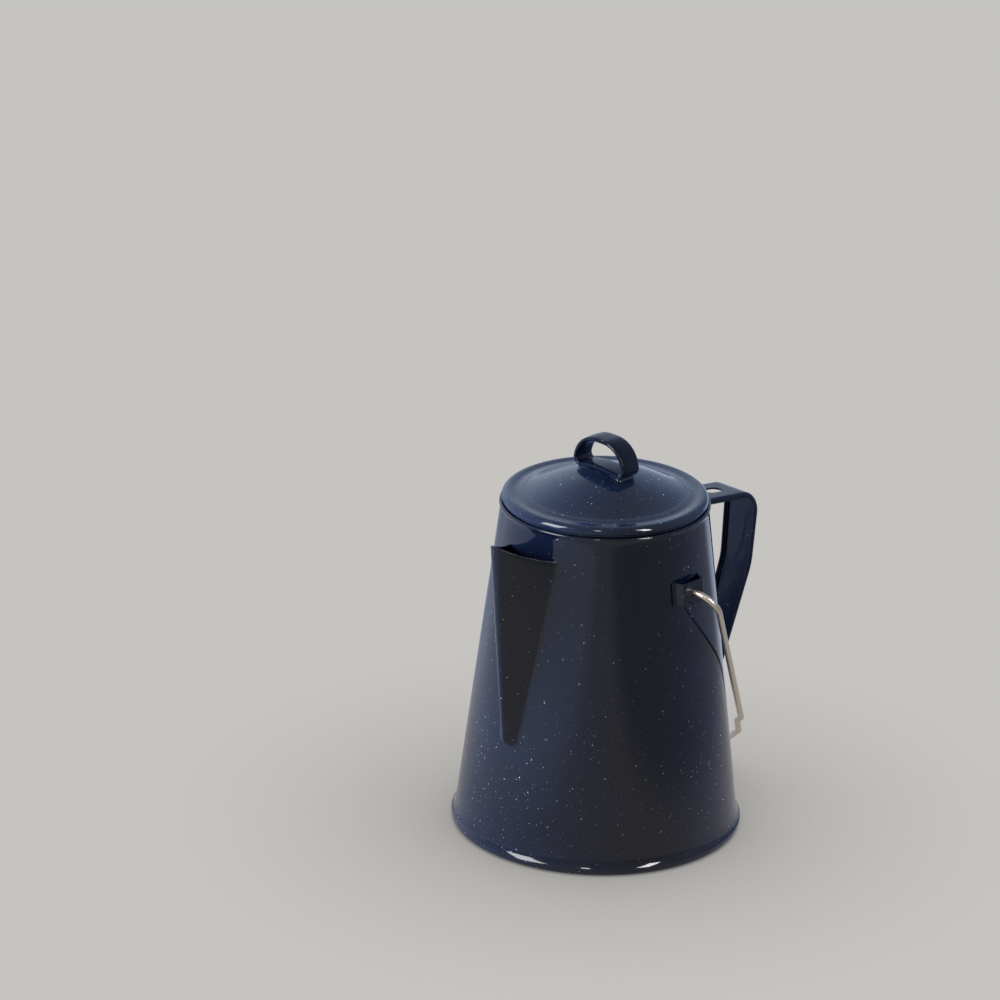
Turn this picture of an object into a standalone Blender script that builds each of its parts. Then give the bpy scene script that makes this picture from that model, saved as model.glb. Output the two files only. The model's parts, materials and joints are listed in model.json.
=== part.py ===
"""Enamelled steel camp coffee pot: a trough spout, a strap handle, a wire bail and a loose lid.

The origin is the middle of the flat underside. +Z is up, +X points to the handle and -X to the spout.
The two ears that carry the bail stand on the Y axis.
"""

import math

import bmesh
import bpy
from mathutils import Vector

# Sheet metal and clearances
SHEET = 0.0010  # enamelled sheet steel
GAP = 0.0003  # left between two pieces that touch
SEGMENTS = 64  # sides of every turned piece

# Body
POT_HEIGHT = 0.1781  # middle of the rolled rim
FOOT_RADIUS = 0.0751  # outside of the wall, carried down to the table
MOUTH_RADIUS = 0.0538  # outside of the wall at the rolled rim
RIM_BEAD_RADIUS = 0.0010
RIM_BEAD_SHOULDER = 0.0016  # from the middle of the rolled rim down to the plain wall

# Base pan, a shallow dish that the foot of the wall stands in
PAN_RIM_HEIGHT = 0.0056
PAN_RIM_THICKNESS = 0.0010
PAN_CORNER_RADIUS = 0.0024

# Strainer, punched through the wall behind the spout
STRAINER_HOLE_RADIUS = 0.0025
STRAINER_PITCH = 0.009
STRAINER_FROM_TOE = 0.024  # lowest row above the toe of the spout
STRAINER_BELOW_LIP = 0.012  # least height kept between the highest row and the lip
STRAINER_HOLE_SIDES = 12
STRAINER_PUNCH_LENGTH = 0.010

# Spout
SPOUT_TOE_HEIGHT = 0.068
SPOUT_NOSE_LENGTH = 0.0065
SPOUT_TOE_REACH = 0.0052  # from the wall to the ridge at the toe
SPOUT_LIP_DROP = 0.0141  # from the rolled rim down to where the lip leaves the wall
SPOUT_LIP_RISE = 0.0115  # how much higher the lip stands at its tip
SPOUT_LIP_REACH = 0.0268
SPOUT_TOE_HALF_WIDTH = 0.0060
SPOUT_LIP_HALF_WIDTH = 0.0170
SPOUT_TOE_ROUNDING = 0.35  # of the ridge, as a share of the half width
SPOUT_LIP_ROUNDING = 0.62
SPOUT_LIP_DIP = 1.4  # 1 would leave the edge of the lip straight
SPOUT_CROWDING = 1.4  # how much closer its points stand near the ridge
SPOUT_SECTIONS = 10
SPOUT_NOSE_SECTIONS = 5
SPOUT_SIDES = 8

# Handle, a strap with its edges turned towards the pot
HANDLE_TOP_DROP = 0.0113  # from the rolled rim down to the upper face at the wall
HANDLE_SHOULDER_DROP = 0.0072
HANDLE_REACH = 0.0538  # from the wall to the outer corner
HANDLE_CORNER_RADIUS = 0.014
HANDLE_KNEE_DROP = 0.0490  # from the upper face to the knee
HANDLE_KNEE_INSET = 0.0030
HANDLE_KNEE_RADIUS = 0.035
HANDLE_END_HEIGHT = 0.0275
HANDLE_END_STANDOFF = 0.0016
HANDLE_TOP_HALF_WIDTH = 0.0116
HANDLE_END_HALF_WIDTH = 0.0082
HANDLE_FLANGE_DEPTH = 0.0031  # outer face to the free edge of the turned sides
HANDLE_EDGE_RADIUS = 0.0018
HANDLE_FLAT_SHARE = 0.35  # of the half width, where the flat of the face ends
HANDLE_STATIONS = 30
HANDLE_BEND_SIDES = 24
HANG_HOLE_LENGTH = 0.0115
HANG_HOLE_WIDTH = 0.0070
HANG_HOLE_FROM_WALL = 0.0280

# Bail ears, strips bent into a hat
EAR_HEIGHT = 0.012
EAR_FACE_WIDTH = 0.0145
EAR_STANDOFF = 0.0050  # wall to the outside of the face
EAR_FOLD_SLANT = 0.0008
EAR_FOOT_WIDTH = 0.0030
HINGE_DROP = 0.0321  # from the rolled rim down to the hinge
HINGE_FORWARD = 0.0020  # the ears and the hinge stand this far towards the handle

# Bail, one wire
WIRE_RADIUS = 0.00165
WIRE_CLEARANCE = 0.0004  # all round the wire in the hole of the ear
BAIL_STANDOFF = 0.0155  # from the face of the ear to the line of the arm
BAIL_BEND_RADIUS = 0.0090
BAIL_TIP_HEIGHT = 0.0136  # corner of the tip above the table, leaning on the handle side
BAIL_WALL_CLEARANCE = 0.0020  # least gap between the leaning arms and the wall
BAIL_HANDLE_CLEARANCE = 0.0068  # from the edge of the handle to the middle of the crook's sides
BAIL_CROOK_SIDE = 0.0120
BAIL_CROOK_LEAN = 0.0050
BAIL_JOG = 0.0058
BAIL_CROOK_RADIUS = 0.0045
BAIL_BEND_SIDES = 6
BAIL_LEAN_RANGE = (math.radians(10.0), math.radians(70.0))  # where the lean is looked for
BAIL_LEAN_HALVINGS = 30
BAIL_GAP_STEPS = 12
BAIL_HEAD_LIP = 0.00135  # how far the head stands out round the wire
BAIL_HEAD_THICKNESS = 0.0010
BAIL_HEAD_FROM_WALL = 0.0013

# Lid
COLLAR_CLEARANCE = 0.0008  # all round the collar in the mouth
COLLAR_DEPTH = 0.0110
COLLAR_FLANGE_INSET = 0.0005  # edge of the flange inside the outside of the lip
LID_INSET = 0.0002  # outside of the lip, inside the outside of the wall at the mouth
LID_LIP_HEIGHT = 0.0036
LID_CHANNEL_WIDTH = 0.0085
LID_CHANNEL_DEPTH = 0.0009
LID_DOME_RISE = 0.0126
LID_DOME_FULLNESS = 1.15  # 1 is a parabola, and more draws the dome in at its edge
LID_DOME_FOOT = 0.0004  # height of the dome's edge above the crest of the brim
LID_DOME_SIDES = 9
LID_BRIM_ROUNDING = 0.0032

# Lid knob, a strap bent into a D
KNOB_WIDTH = 0.0125
KNOB_STRAP = 0.0026
KNOB_HALF_SPAN = 0.0198
KNOB_RISE = 0.0175
KNOB_LEAN = 0.74  # span of the arch at its top as a share of the span at the feet
KNOB_FOOT_RADIUS = 0.0050
KNOB_ARCH_RADIUS = 0.0155
KNOB_LYING_SHARE = 0.6  # of the half span, where the foot starts to turn up
KNOB_LYING_STEPS = 4
KNOB_BEND_SIDES = 6
KNOB_TURN = math.radians(90.0)
KNOB_SEAM = 0.0006

# Heights that follow from the rim
SPOUT_LIP_HEIGHT = POT_HEIGHT - SPOUT_LIP_DROP
HANDLE_TOP_HEIGHT = POT_HEIGHT - HANDLE_TOP_DROP
HINGE_HEIGHT = POT_HEIGHT - HINGE_DROP
STRAINER_LOWEST = SPOUT_TOE_HEIGHT + STRAINER_FROM_TOE
BAIL_CROOK_HALF_WIDTH = HANDLE_TOP_HALF_WIDTH + BAIL_HANDLE_CLEARANCE
BAIL_HEAD_RADIUS = WIRE_RADIUS + BAIL_HEAD_LIP

PARTS = "coffee_pot"
CUTTERS = "coffee_pot_cutters"


def wall_radius(height):
    """Outside radius of the body wall at this height."""
    return FOOT_RADIUS + (MOUTH_RADIUS - FOOT_RADIUS) * height / POT_HEIGHT


def wall_line(radius, across):
    """Distance from the side plane to a circle of this radius, this far across."""
    return math.sqrt(radius**2 - across**2)


def clear_scene():
    for old in list(bpy.data.objects):
        bpy.data.objects.remove(old, do_unlink=True)
    for name in (PARTS, CUTTERS):
        collection = bpy.data.collections.new(name)
        bpy.context.scene.collection.children.link(collection)


def finish_material(name, color, roughness, metallic, coat=0.0):
    material = bpy.data.materials.get(name)
    if material is None:
        material = bpy.data.materials.new(name)
        material.use_nodes = True
        shader = material.node_tree.nodes["Principled BSDF"]
        shader.inputs["Base Color"].default_value = (*color, 1.0)
        shader.inputs["Roughness"].default_value = roughness
        shader.inputs["Metallic"].default_value = metallic
        shader.inputs["Coat Weight"].default_value = coat
    return material


def body_enamel():
    return finish_material("blue_enamel_body", (0.010, 0.014, 0.045), 0.12, 0.0, 1.0)


def trim_enamel():
    return finish_material("blue_enamel_trim", (0.008, 0.011, 0.034), 0.14, 0.0, 1.0)


def lid_enamel():
    return finish_material("blue_enamel_lid", (0.020, 0.034, 0.100), 0.12, 0.0, 1.0)


def nickel_wire():
    return finish_material("nickel_wire", (0.62, 0.57, 0.49), 0.22, 1.0)


def new_object(name, mesh, material=None, cutter=False):
    made = bpy.data.objects.new(name, mesh)
    bpy.data.collections[CUTTERS if cutter else PARTS].objects.link(made)
    if cutter:
        made.hide_render = True
        made.display_type = "WIRE"
    else:
        mesh.materials.append(material)
    return made


def shade_round(made):
    mesh = made.data
    if len(mesh.polygons):
        mesh.shade_smooth()
        mesh.set_sharp_from_angle(angle=math.radians(35.0))


def arc(center, radius, start, end, sides):
    """Points on an arc, both ends included. Angles are in degrees."""
    points = []
    for i in range(sides + 1):
        angle = math.radians(start + (end - start) * i / sides)
        points.append((center[0] + radius * math.cos(angle), center[1] + radius * math.sin(angle)))
    return points


def rounded_path(corners, radii, sides):
    """An open path through these corners, with each inner corner rounded to its radius."""
    points = [Vector(corners[0])]
    for before, corner, after, radius in zip(corners, corners[1:], corners[2:], radii):
        corner = Vector(corner)
        back = (Vector(before) - corner).normalized()
        ahead = (Vector(after) - corner).normalized()
        half = 0.5 * math.acos(max(-1.0, min(1.0, back.dot(ahead))))
        middle = corner + (back + ahead).normalized() * (radius / math.sin(half))
        start = corner + back * (radius / math.tan(half)) - middle
        end = corner + ahead * (radius / math.tan(half)) - middle
        sweep = start.angle(end)
        for i in range(sides + 1):
            part = i / sides
            share_start = math.sin((1.0 - part) * sweep) / math.sin(sweep)
            share_end = math.sin(part * sweep) / math.sin(sweep)
            points.append(middle + start * share_start + end * share_end)
    points.append(Vector(corners[-1]))
    return points


def turned(name, profile, closed, material=None, cutter=False):
    """A profile of (radius, height) points turned about Z, listed down its outer side."""
    mesh = bpy.data.meshes.new(name)
    points = [(radius, 0.0, height) for radius, height in profile]
    edges = [(i, i + 1) for i in range(len(points) - 1)]
    if closed:
        edges.append((len(points) - 1, 0))
    mesh.from_pydata(points, edges, [])
    made = new_object(name, mesh, material, cutter)
    screw = made.modifiers.new("turn", "SCREW")
    screw.axis = "Z"
    screw.steps = SEGMENTS
    screw.render_steps = SEGMENTS
    screw.use_merge_vertices = True
    screw.merge_threshold = 1e-5
    screw.use_smooth_shade = True
    return made


def cut(made, cutter):
    boolean = made.modifiers.new("cut_" + cutter.name, "BOOLEAN")
    boolean.operation = "DIFFERENCE"
    boolean.object = cutter
    boolean.solver = "EXACT"


def mesh_from_bmesh(name, shape):
    bmesh.ops.recalc_face_normals(shape, faces=shape.faces)
    mesh = bpy.data.meshes.new(name)
    shape.to_mesh(mesh)
    shape.free()
    return mesh


def loft(name, sections):
    """An open sheet through rows of points, all with the same count."""
    shape = bmesh.new()
    rows = [[shape.verts.new(point) for point in section] for section in sections]
    for row, after in zip(rows, rows[1:]):
        for i in range(len(row) - 1):
            shape.faces.new((row[i], row[i + 1], after[i + 1], after[i]))
    mesh = bpy.data.meshes.new(name)
    shape.to_mesh(mesh)
    shape.free()
    return mesh


def thicken(made, thickness):
    """Grows a sheet to its thickness on the side away from its normals."""
    solidify = made.modifiers.new("sheet", "SOLIDIFY")
    solidify.thickness = thickness
    solidify.offset = -1.0
    solidify.use_even_offset = True


def extruded(name, outline, direction):
    """A closed flat outline of points pushed along a direction."""
    shape = bmesh.new()
    face = shape.faces.new([shape.verts.new(point) for point in outline])
    made = bmesh.ops.extrude_face_region(shape, geom=[face])
    moved = [item for item in made["geom"] if isinstance(item, bmesh.types.BMVert)]
    bmesh.ops.translate(shape, verts=moved, vec=direction)
    return mesh_from_bmesh(name, shape)


def pin_cutter(middle, axis, radius, length, sides=16):
    """A round cutter centred on a point, along an axis."""
    shape = bmesh.new()
    bmesh.ops.create_cone(
        shape, cap_ends=True, segments=sides, radius1=radius, radius2=radius, depth=length
    )
    turn = Vector((0.0, 0.0, 1.0)).rotation_difference(Vector(axis))
    bmesh.ops.rotate(shape, verts=shape.verts, matrix=turn.to_matrix())
    bmesh.ops.translate(shape, verts=shape.verts, vec=middle)
    return shape


def wall_clearance():
    """The space of the pot and the gap round it, which trims what is welded on."""
    below = -0.02
    above = POT_HEIGHT + 0.04
    profile = [
        (0.0, above),
        (wall_radius(above) + GAP, above),
        (wall_radius(below) + GAP, below),
        (0.0, below),
    ]
    return turned("wall_clearance", profile, False, cutter=True)


# ---------------------------------------------------------------- body


def body_shell():
    foot = SHEET + GAP
    bead_radius = wall_radius(POT_HEIGHT) - SHEET + RIM_BEAD_RADIUS
    profile = arc((bead_radius, POT_HEIGHT), RIM_BEAD_RADIUS, 180.0, -60.0, 8)
    under_bead = POT_HEIGHT - RIM_BEAD_SHOULDER
    profile.append((wall_radius(under_bead), under_bead))
    profile.append((wall_radius(foot), foot))
    profile.append((wall_radius(foot) - SHEET, foot))
    shell = turned("body_shell", profile, True, body_enamel())
    cut(shell, strainer_cutter())
    shade_round(shell)
    return shell


def strainer_cutter():
    """Rows of round holes, as many in each row as the spout covers there."""
    shape = bmesh.new()
    highest = SPOUT_LIP_HEIGHT - STRAINER_BELOW_LIP
    rows = 1 + math.floor((highest - STRAINER_LOWEST) / STRAINER_PITCH)
    for row in range(rows):
        height = STRAINER_LOWEST + STRAINER_PITCH * row
        margin = SHEET + STRAINER_HOLE_RADIUS + SHEET
        free = 2.0 * (spout_half_width(height) - margin)
        count = 1 + max(0, math.floor(free / STRAINER_PITCH))
        radius = wall_radius(height)
        for i in range(count):
            across = (i - 0.5 * (count - 1)) * STRAINER_PITCH
            turn = math.pi - across / radius
            outward = Vector((math.cos(turn), math.sin(turn), 0.0))
            hole = pin_cutter(
                outward * radius + Vector((0.0, 0.0, height)),
                outward,
                STRAINER_HOLE_RADIUS,
                STRAINER_PUNCH_LENGTH,
                STRAINER_HOLE_SIDES,
            )
            piece = bpy.data.meshes.new("hole")
            hole.to_mesh(piece)
            hole.free()
            shape.from_mesh(piece)
            bpy.data.meshes.remove(piece)
    return new_object("strainer_holes", mesh_from_bmesh("strainer_holes", shape), cutter=True)


def base_pan():
    inner_low = wall_radius(SHEET) + GAP
    inner_high = wall_radius(PAN_RIM_HEIGHT) + GAP
    outer_low = inner_low + PAN_RIM_THICKNESS
    edge = 0.5 * PAN_RIM_THICKNESS
    profile = [(0.0, SHEET), (inner_low, SHEET)]
    profile += arc((inner_high + edge, PAN_RIM_HEIGHT - edge), edge, 180.0, 20.0, 4)
    profile += arc(
        (outer_low - PAN_CORNER_RADIUS, PAN_CORNER_RADIUS), PAN_CORNER_RADIUS, 0.0, -90.0, 6
    )
    profile.append((0.0, 0.0))
    return turned("base_pan", profile, False, body_enamel())


# ---------------------------------------------------------------- spout


def spout_part(height):
    """0 at the toe and 1 where the lip leaves the wall."""
    return (height - SPOUT_TOE_HEIGHT) / (SPOUT_LIP_HEIGHT - SPOUT_TOE_HEIGHT)


def spout_half_width(height):
    return SPOUT_TOE_HALF_WIDTH + (SPOUT_LIP_HALF_WIDTH - SPOUT_TOE_HALF_WIDTH) * spout_part(height)


def trough_section(height, reach, half_width, rise):
    """A rounded V from wall to wall, whose ridge stands higher than its ends by the rise."""
    radius = wall_radius(height)
    lip_share = max(0.0, spout_part(height))
    rounding = SPOUT_TOE_ROUNDING + (SPOUT_LIP_ROUNDING - SPOUT_TOE_ROUNDING) * lip_share
    outer = math.hypot(1.0, rounding)
    half = []
    for i in range(SPOUT_SIDES + 1):
        share = (i / SPOUT_SIDES) ** SPOUT_CROWDING
        swell = (outer - math.hypot(share, rounding)) / (outer - rounding)
        across = share * half_width
        half.append((wall_line(radius, across) + reach * swell, across))
    half.append((half[-1][0] - 2.0 * SHEET, half_width))
    full = [(x, -y) for x, y in reversed(half)] + half[1:]
    base = half[-1][0]
    section = []
    for x, y in full:
        lift = rise * max(0.0, (x - base) / (half[0][0] - base)) ** SPOUT_LIP_DIP
        section.append((-x, y, height + lift))
    return section


def spout():
    sections = []
    sink = 2.0 * SHEET
    for i in range(SPOUT_NOSE_SECTIONS):
        angle = 0.5 * math.pi * i / SPOUT_NOSE_SECTIONS
        swell = math.sin(angle)
        height = SPOUT_TOE_HEIGHT - SPOUT_NOSE_LENGTH * math.cos(angle)
        reach = (SPOUT_TOE_REACH + sink) * swell - sink
        sections.append(trough_section(height, reach, SPOUT_TOE_HALF_WIDTH * (0.5 + 0.5 * swell), 0.0))
    for i in range(SPOUT_SECTIONS + 1):
        part = i / SPOUT_SECTIONS
        height = SPOUT_TOE_HEIGHT + (SPOUT_LIP_HEIGHT - SPOUT_TOE_HEIGHT) * part
        reach = SPOUT_TOE_REACH + (SPOUT_LIP_REACH - SPOUT_TOE_REACH) * part
        sections.append(trough_section(height, reach, spout_half_width(height), SPOUT_LIP_RISE * part**2))
    trough = new_object("spout", loft("spout", sections[::-1]), body_enamel())
    thicken(trough, SHEET)
    shade_round(trough)
    return trough


# ---------------------------------------------------------------- handle


def handle_path():
    """Middle of the outer face, from the wall over the corner and down to the wall, as (x, z)."""
    top_x = wall_radius(HANDLE_TOP_HEIGHT)
    corner = (top_x + HANDLE_REACH, HANDLE_TOP_HEIGHT - HANDLE_SHOULDER_DROP)
    knee = (corner[0] - HANDLE_KNEE_INSET, HANDLE_TOP_HEIGHT - HANDLE_KNEE_DROP)
    end = (wall_radius(HANDLE_END_HEIGHT) + HANDLE_END_STANDOFF, HANDLE_END_HEIGHT)
    start = (top_x - 2.0 * SHEET, HANDLE_TOP_HEIGHT)
    corners = [(x, 0.0, z) for x, z in (start, corner, knee, end)]
    return rounded_path(corners, (HANDLE_CORNER_RADIUS, HANDLE_KNEE_RADIUS), HANDLE_BEND_SIDES)


def spaced(points, count):
    """Points at even steps along a path."""
    lengths = [0.0]
    for before, after in zip(points, points[1:]):
        lengths.append(lengths[-1] + (after - before).length)
    found = []
    for i in range(count):
        wanted = lengths[-1] * i / (count - 1)
        j = 0
        while j < len(points) - 2 and lengths[j + 1] < wanted:
            j += 1
        step = (wanted - lengths[j]) / (lengths[j + 1] - lengths[j])
        found.append(points[j].lerp(points[j + 1], step))
    return found


def strap_section(point, outward, half_width):
    """The strap across its width: one turned edge, the face and the other turned edge."""
    radius = HANDLE_EDGE_RADIUS
    half = [(half_width, -HANDLE_FLANGE_DEPTH)]
    half += arc((half_width - radius, -radius), radius, 0.0, 90.0, 3)
    half.append((HANDLE_FLAT_SHARE * half_width, 0.0))
    across = half + [(-side, depth) for side, depth in reversed(half)]
    return [point + outward * depth + Vector((0.0, side, 0.0)) for side, depth in across]


def handle():
    path = spaced(handle_path(), HANDLE_STATIONS)
    sections = []
    for i, point in enumerate(path):
        along = (path[min(i + 1, len(path) - 1)] - path[max(i - 1, 0)]).normalized()
        outward = Vector((-along.z, 0.0, along.x))
        part = max(0.0, (HANDLE_TOP_HEIGHT - point.z) / (HANDLE_TOP_HEIGHT - HANDLE_END_HEIGHT))
        half_width = HANDLE_TOP_HALF_WIDTH + (HANDLE_END_HALF_WIDTH - HANDLE_TOP_HALF_WIDTH) * part
        sections.append(strap_section(point, outward, half_width))
    strap = new_object("handle", loft("handle", sections), trim_enamel())
    thicken(strap, SHEET)
    shade_round(strap)
    return strap


def hang_hole_cutter():
    """An oval through the top of the strap."""
    straight = 0.5 * (HANG_HOLE_LENGTH - HANG_HOLE_WIDTH)
    middle = wall_radius(HANDLE_TOP_HEIGHT) + HANG_HOLE_FROM_WALL
    radius = 0.5 * HANG_HOLE_WIDTH
    outline = arc((middle + straight, 0.0), radius, -90.0, 90.0, 8)
    outline += arc((middle - straight, 0.0), radius, 90.0, 270.0, 8)
    low = HANDLE_TOP_HEIGHT - 2.5 * HANDLE_SHOULDER_DROP
    points = [(x, y, low) for x, y in outline]
    mesh = extruded("hang_hole", points, (0.0, 0.0, 3.5 * HANDLE_SHOULDER_DROP))
    return new_object("hang_hole", mesh, cutter=True)


# ---------------------------------------------------------------- bail ears


def ear(name, side):
    """A strip bent into a hat, its feet on the wall and its face square to the hinge."""
    low = HINGE_HEIGHT - 0.5 * EAR_HEIGHT
    high = HINGE_HEIGHT + 0.5 * EAR_HEIGHT
    seat = wall_radius(low) + GAP
    face = wall_radius(low) + EAR_STANDOFF
    half_face = 0.5 * EAR_FACE_WIDTH
    fold = half_face + EAR_FOLD_SLANT
    foot = fold + EAR_FOOT_WIDTH
    ends = {1.0: [], -1.0: []}
    for way, points in ends.items():
        foot_x = HINGE_FORWARD + way * foot
        fold_x = HINGE_FORWARD + way * fold
        face_x = HINGE_FORWARD + way * half_face
        points.append((foot_x, wall_line(seat, foot_x)))
        points.append((fold_x, wall_line(seat, fold_x)))
        points.append((face_x - way * SHEET, face - SHEET))
        points.append((face_x, face))
        points.append((fold_x + way * SHEET, wall_line(seat + SHEET, fold_x + way * SHEET)))
        points.append((foot_x, wall_line(seat + SHEET, foot_x)))
    outline = ends[-1.0][:3] + ends[1.0][2::-1] + ends[1.0][:2:-1] + ends[-1.0][3:]
    points = [(x, side * y, low) for x, y in outline]
    lean = wall_radius(high) - wall_radius(low)
    mesh = extruded(name, points, (0.0, side * lean, EAR_HEIGHT))
    made = new_object(name, mesh, body_enamel())
    hole = pin_cutter(
        (HINGE_FORWARD, side * face, HINGE_HEIGHT),
        (0.0, 1.0, 0.0),
        WIRE_RADIUS + WIRE_CLEARANCE,
        4.0 * EAR_STANDOFF,
    )
    cutter = new_object(name + "_hole", mesh_from_bmesh(name + "_hole", hole), cutter=True)
    cut(made, cutter)
    return made


# ---------------------------------------------------------------- bail


def bail_length(lean):
    """Hinge to the corner of the tip, which stops above the table at this lean from straight down."""
    return (HINGE_HEIGHT - BAIL_TIP_HEIGHT) / math.cos(lean)


def bail_route(lean):
    """Half of the wire, from the head inside the ear to the middle of the crook, hanging straight down."""
    length = bail_length(lean)
    wall = wall_radius(HINGE_HEIGHT)
    start = wall + BAIL_HEAD_FROM_WALL + 0.5 * BAIL_HEAD_THICKNESS
    arm = wall + EAR_STANDOFF + BAIL_STANDOFF
    tip_start = length - BAIL_CROOK_HALF_WIDTH
    side_start = tip_start - BAIL_CROOK_SIDE
    side_out = BAIL_CROOK_HALF_WIDTH + BAIL_CROOK_LEAN
    corners = [
        (0.0, start, 0.0),
        (0.0, arm, 0.0),
        (0.0, side_out + BAIL_JOG, -side_start + BAIL_JOG),
        (0.0, side_out, -side_start),
        (0.0, BAIL_CROOK_HALF_WIDTH, -tip_start),
        (0.0, 0.0, -length),
        (0.0, -BAIL_CROOK_HALF_WIDTH, -tip_start),
    ]
    bend = 0.5 * BAIL_CROOK_RADIUS
    radii = (BAIL_BEND_RADIUS, bend, bend, bend, BAIL_CROOK_RADIUS)
    points = rounded_path(corners, radii, BAIL_BEND_SIDES)
    return points[: -1 - BAIL_BEND_SIDES // 2]


def bail_gap(lean):
    """Least gap between the wall and the wire below its upper bend, at this lean towards the handle."""
    gaps = []
    route = bail_route(lean)[BAIL_BEND_SIDES + 1 :]
    for before, after in zip(route, route[1:]):
        for step in range(BAIL_GAP_STEPS):
            point = before.lerp(after, step / BAIL_GAP_STEPS)
            forward = HINGE_FORWARD - point.z * math.sin(lean)
            height = HINGE_HEIGHT + point.z * math.cos(lean)
            gaps.append(math.hypot(forward, point.y) - wall_radius(height) - WIRE_RADIUS)
    return min(gaps)


def bail_lean():
    """The lean from straight down at which the arms keep their clearance to the wall."""
    least, most = BAIL_LEAN_RANGE
    for _ in range(BAIL_LEAN_HALVINGS):
        middle = 0.5 * (least + most)
        if bail_gap(middle) < BAIL_WALL_CLEARANCE:
            least = middle
        else:
            most = middle
    return 0.5 * (least + most)


def bail(hinge):
    lean = bail_lean()
    half = bail_route(lean)
    route = half + [Vector((0.0, -point.y, point.z)) for point in reversed(half[:-1])]
    curve = bpy.data.curves.new("bail", "CURVE")
    curve.dimensions = "3D"
    curve.bevel_depth = WIRE_RADIUS
    curve.bevel_resolution = 3
    curve.use_fill_caps = True
    spline = curve.splines.new("POLY")
    spline.points.add(len(route) - 1)
    for point, place in zip(spline.points, route):
        point.co = (*place, 1.0)
    guide = bpy.data.objects.new("bail_curve", curve)
    bpy.data.collections[CUTTERS].objects.link(guide)
    bpy.context.view_layer.update()
    graph = bpy.context.evaluated_depsgraph_get()
    mesh = bpy.data.meshes.new_from_object(guide.evaluated_get(graph))
    mesh.name = "bail"
    shape = bmesh.new()
    shape.from_mesh(mesh)
    bmesh.ops.remove_doubles(shape, verts=shape.verts, dist=1e-6)
    bmesh.ops.recalc_face_normals(shape, faces=shape.faces)
    shape.to_mesh(mesh)
    shape.free()
    wire = new_object("bail", mesh, nickel_wire())
    wire.matrix_world = guide.matrix_world
    bpy.data.objects.remove(guide, do_unlink=True)
    heads = bmesh.new()
    for side in (-1.0, 1.0):
        middle = wall_radius(HINGE_HEIGHT) + BAIL_HEAD_FROM_WALL + 0.5 * BAIL_HEAD_THICKNESS
        head = pin_cutter(
            (0.0, side * middle, 0.0), (0.0, 1.0, 0.0), BAIL_HEAD_RADIUS, BAIL_HEAD_THICKNESS
        )
        piece = bpy.data.meshes.new("head")
        head.to_mesh(piece)
        head.free()
        heads.from_mesh(piece)
        bpy.data.meshes.remove(piece)
    joined = new_object("bail_heads", mesh_from_bmesh("bail_heads", heads), cutter=True)
    union = wire.modifiers.new("heads", "BOOLEAN")
    union.operation = "UNION"
    union.object = joined
    union.solver = "EXACT"
    shade_round(wire)
    joined.parent = hinge
    wire.parent = hinge
    hinge.rotation_euler = (0.0, -lean, 0.0)
    return wire


# ---------------------------------------------------------------- lid


def lid_seat():
    """Height of the top of the rolled rim."""
    return POT_HEIGHT + RIM_BEAD_RADIUS


def collar_radius():
    return wall_radius(POT_HEIGHT) - SHEET - COLLAR_CLEARANCE


def collar_top():
    return lid_seat() + GAP + SHEET


def lid_collar():
    outer = collar_radius()
    top = collar_top()
    inner = outer - SHEET
    flange = MOUTH_RADIUS - LID_INSET - COLLAR_FLANGE_INSET
    bottom = lid_seat() - COLLAR_DEPTH
    profile = [
        (inner, top),
        (flange, top),
        (flange, top - SHEET),
        (outer, top - SHEET),
        (outer, bottom),
        (inner, bottom),
    ]
    return turned("lid_collar", profile, True, lid_enamel())


def lid_profile():
    """Upper face of the lid, from the middle to the free edge of the lip."""
    lip_radius = MOUTH_RADIUS - LID_INSET
    lip_edge = collar_top() + GAP
    crest = lip_edge + LID_LIP_HEIGHT
    rounding = LID_BRIM_ROUNDING
    channel_outer = lip_radius - rounding
    channel_middle = channel_outer - 0.5 * LID_CHANNEL_WIDTH
    channel_inner = channel_outer - LID_CHANNEL_WIDTH
    channel_low = crest - LID_CHANNEL_DEPTH
    points = []
    for i in range(LID_DOME_SIDES):
        part = i / LID_DOME_SIDES
        radius = channel_inner * part
        height = crest + LID_DOME_RISE * (1.0 - part**2) ** LID_DOME_FULLNESS
        points.append((radius, height))
    points.append((channel_inner, crest + LID_DOME_FOOT))
    points.append((channel_middle, channel_low))
    points += arc((lip_radius - rounding, crest - rounding), rounding, 90.0, 0.0, 5)
    points.append((lip_radius, lip_edge))
    return points


def lid_shell():
    upper = lid_profile()
    lower = []
    for i, point in enumerate(upper):
        before = Vector(upper[max(i - 1, 0)])
        after = Vector(upper[min(i + 1, len(upper) - 1)])
        along = (after - before).normalized()
        lower.append((max(0.0, point[0] + along.y * SHEET), point[1] - along.x * SHEET))
    lower[0] = (0.0, upper[0][1] - SHEET)
    profile = upper + lower[::-1]
    return turned("lid_shell", profile, False, lid_enamel())


def dome_height(radius):
    points = lid_profile()
    for before, after in zip(points, points[1:]):
        if before[0] <= radius <= after[0]:
            part = (radius - before[0]) / (after[0] - before[0])
            return before[1] + (after[1] - before[1]) * part
    return points[-1][1]


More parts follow.
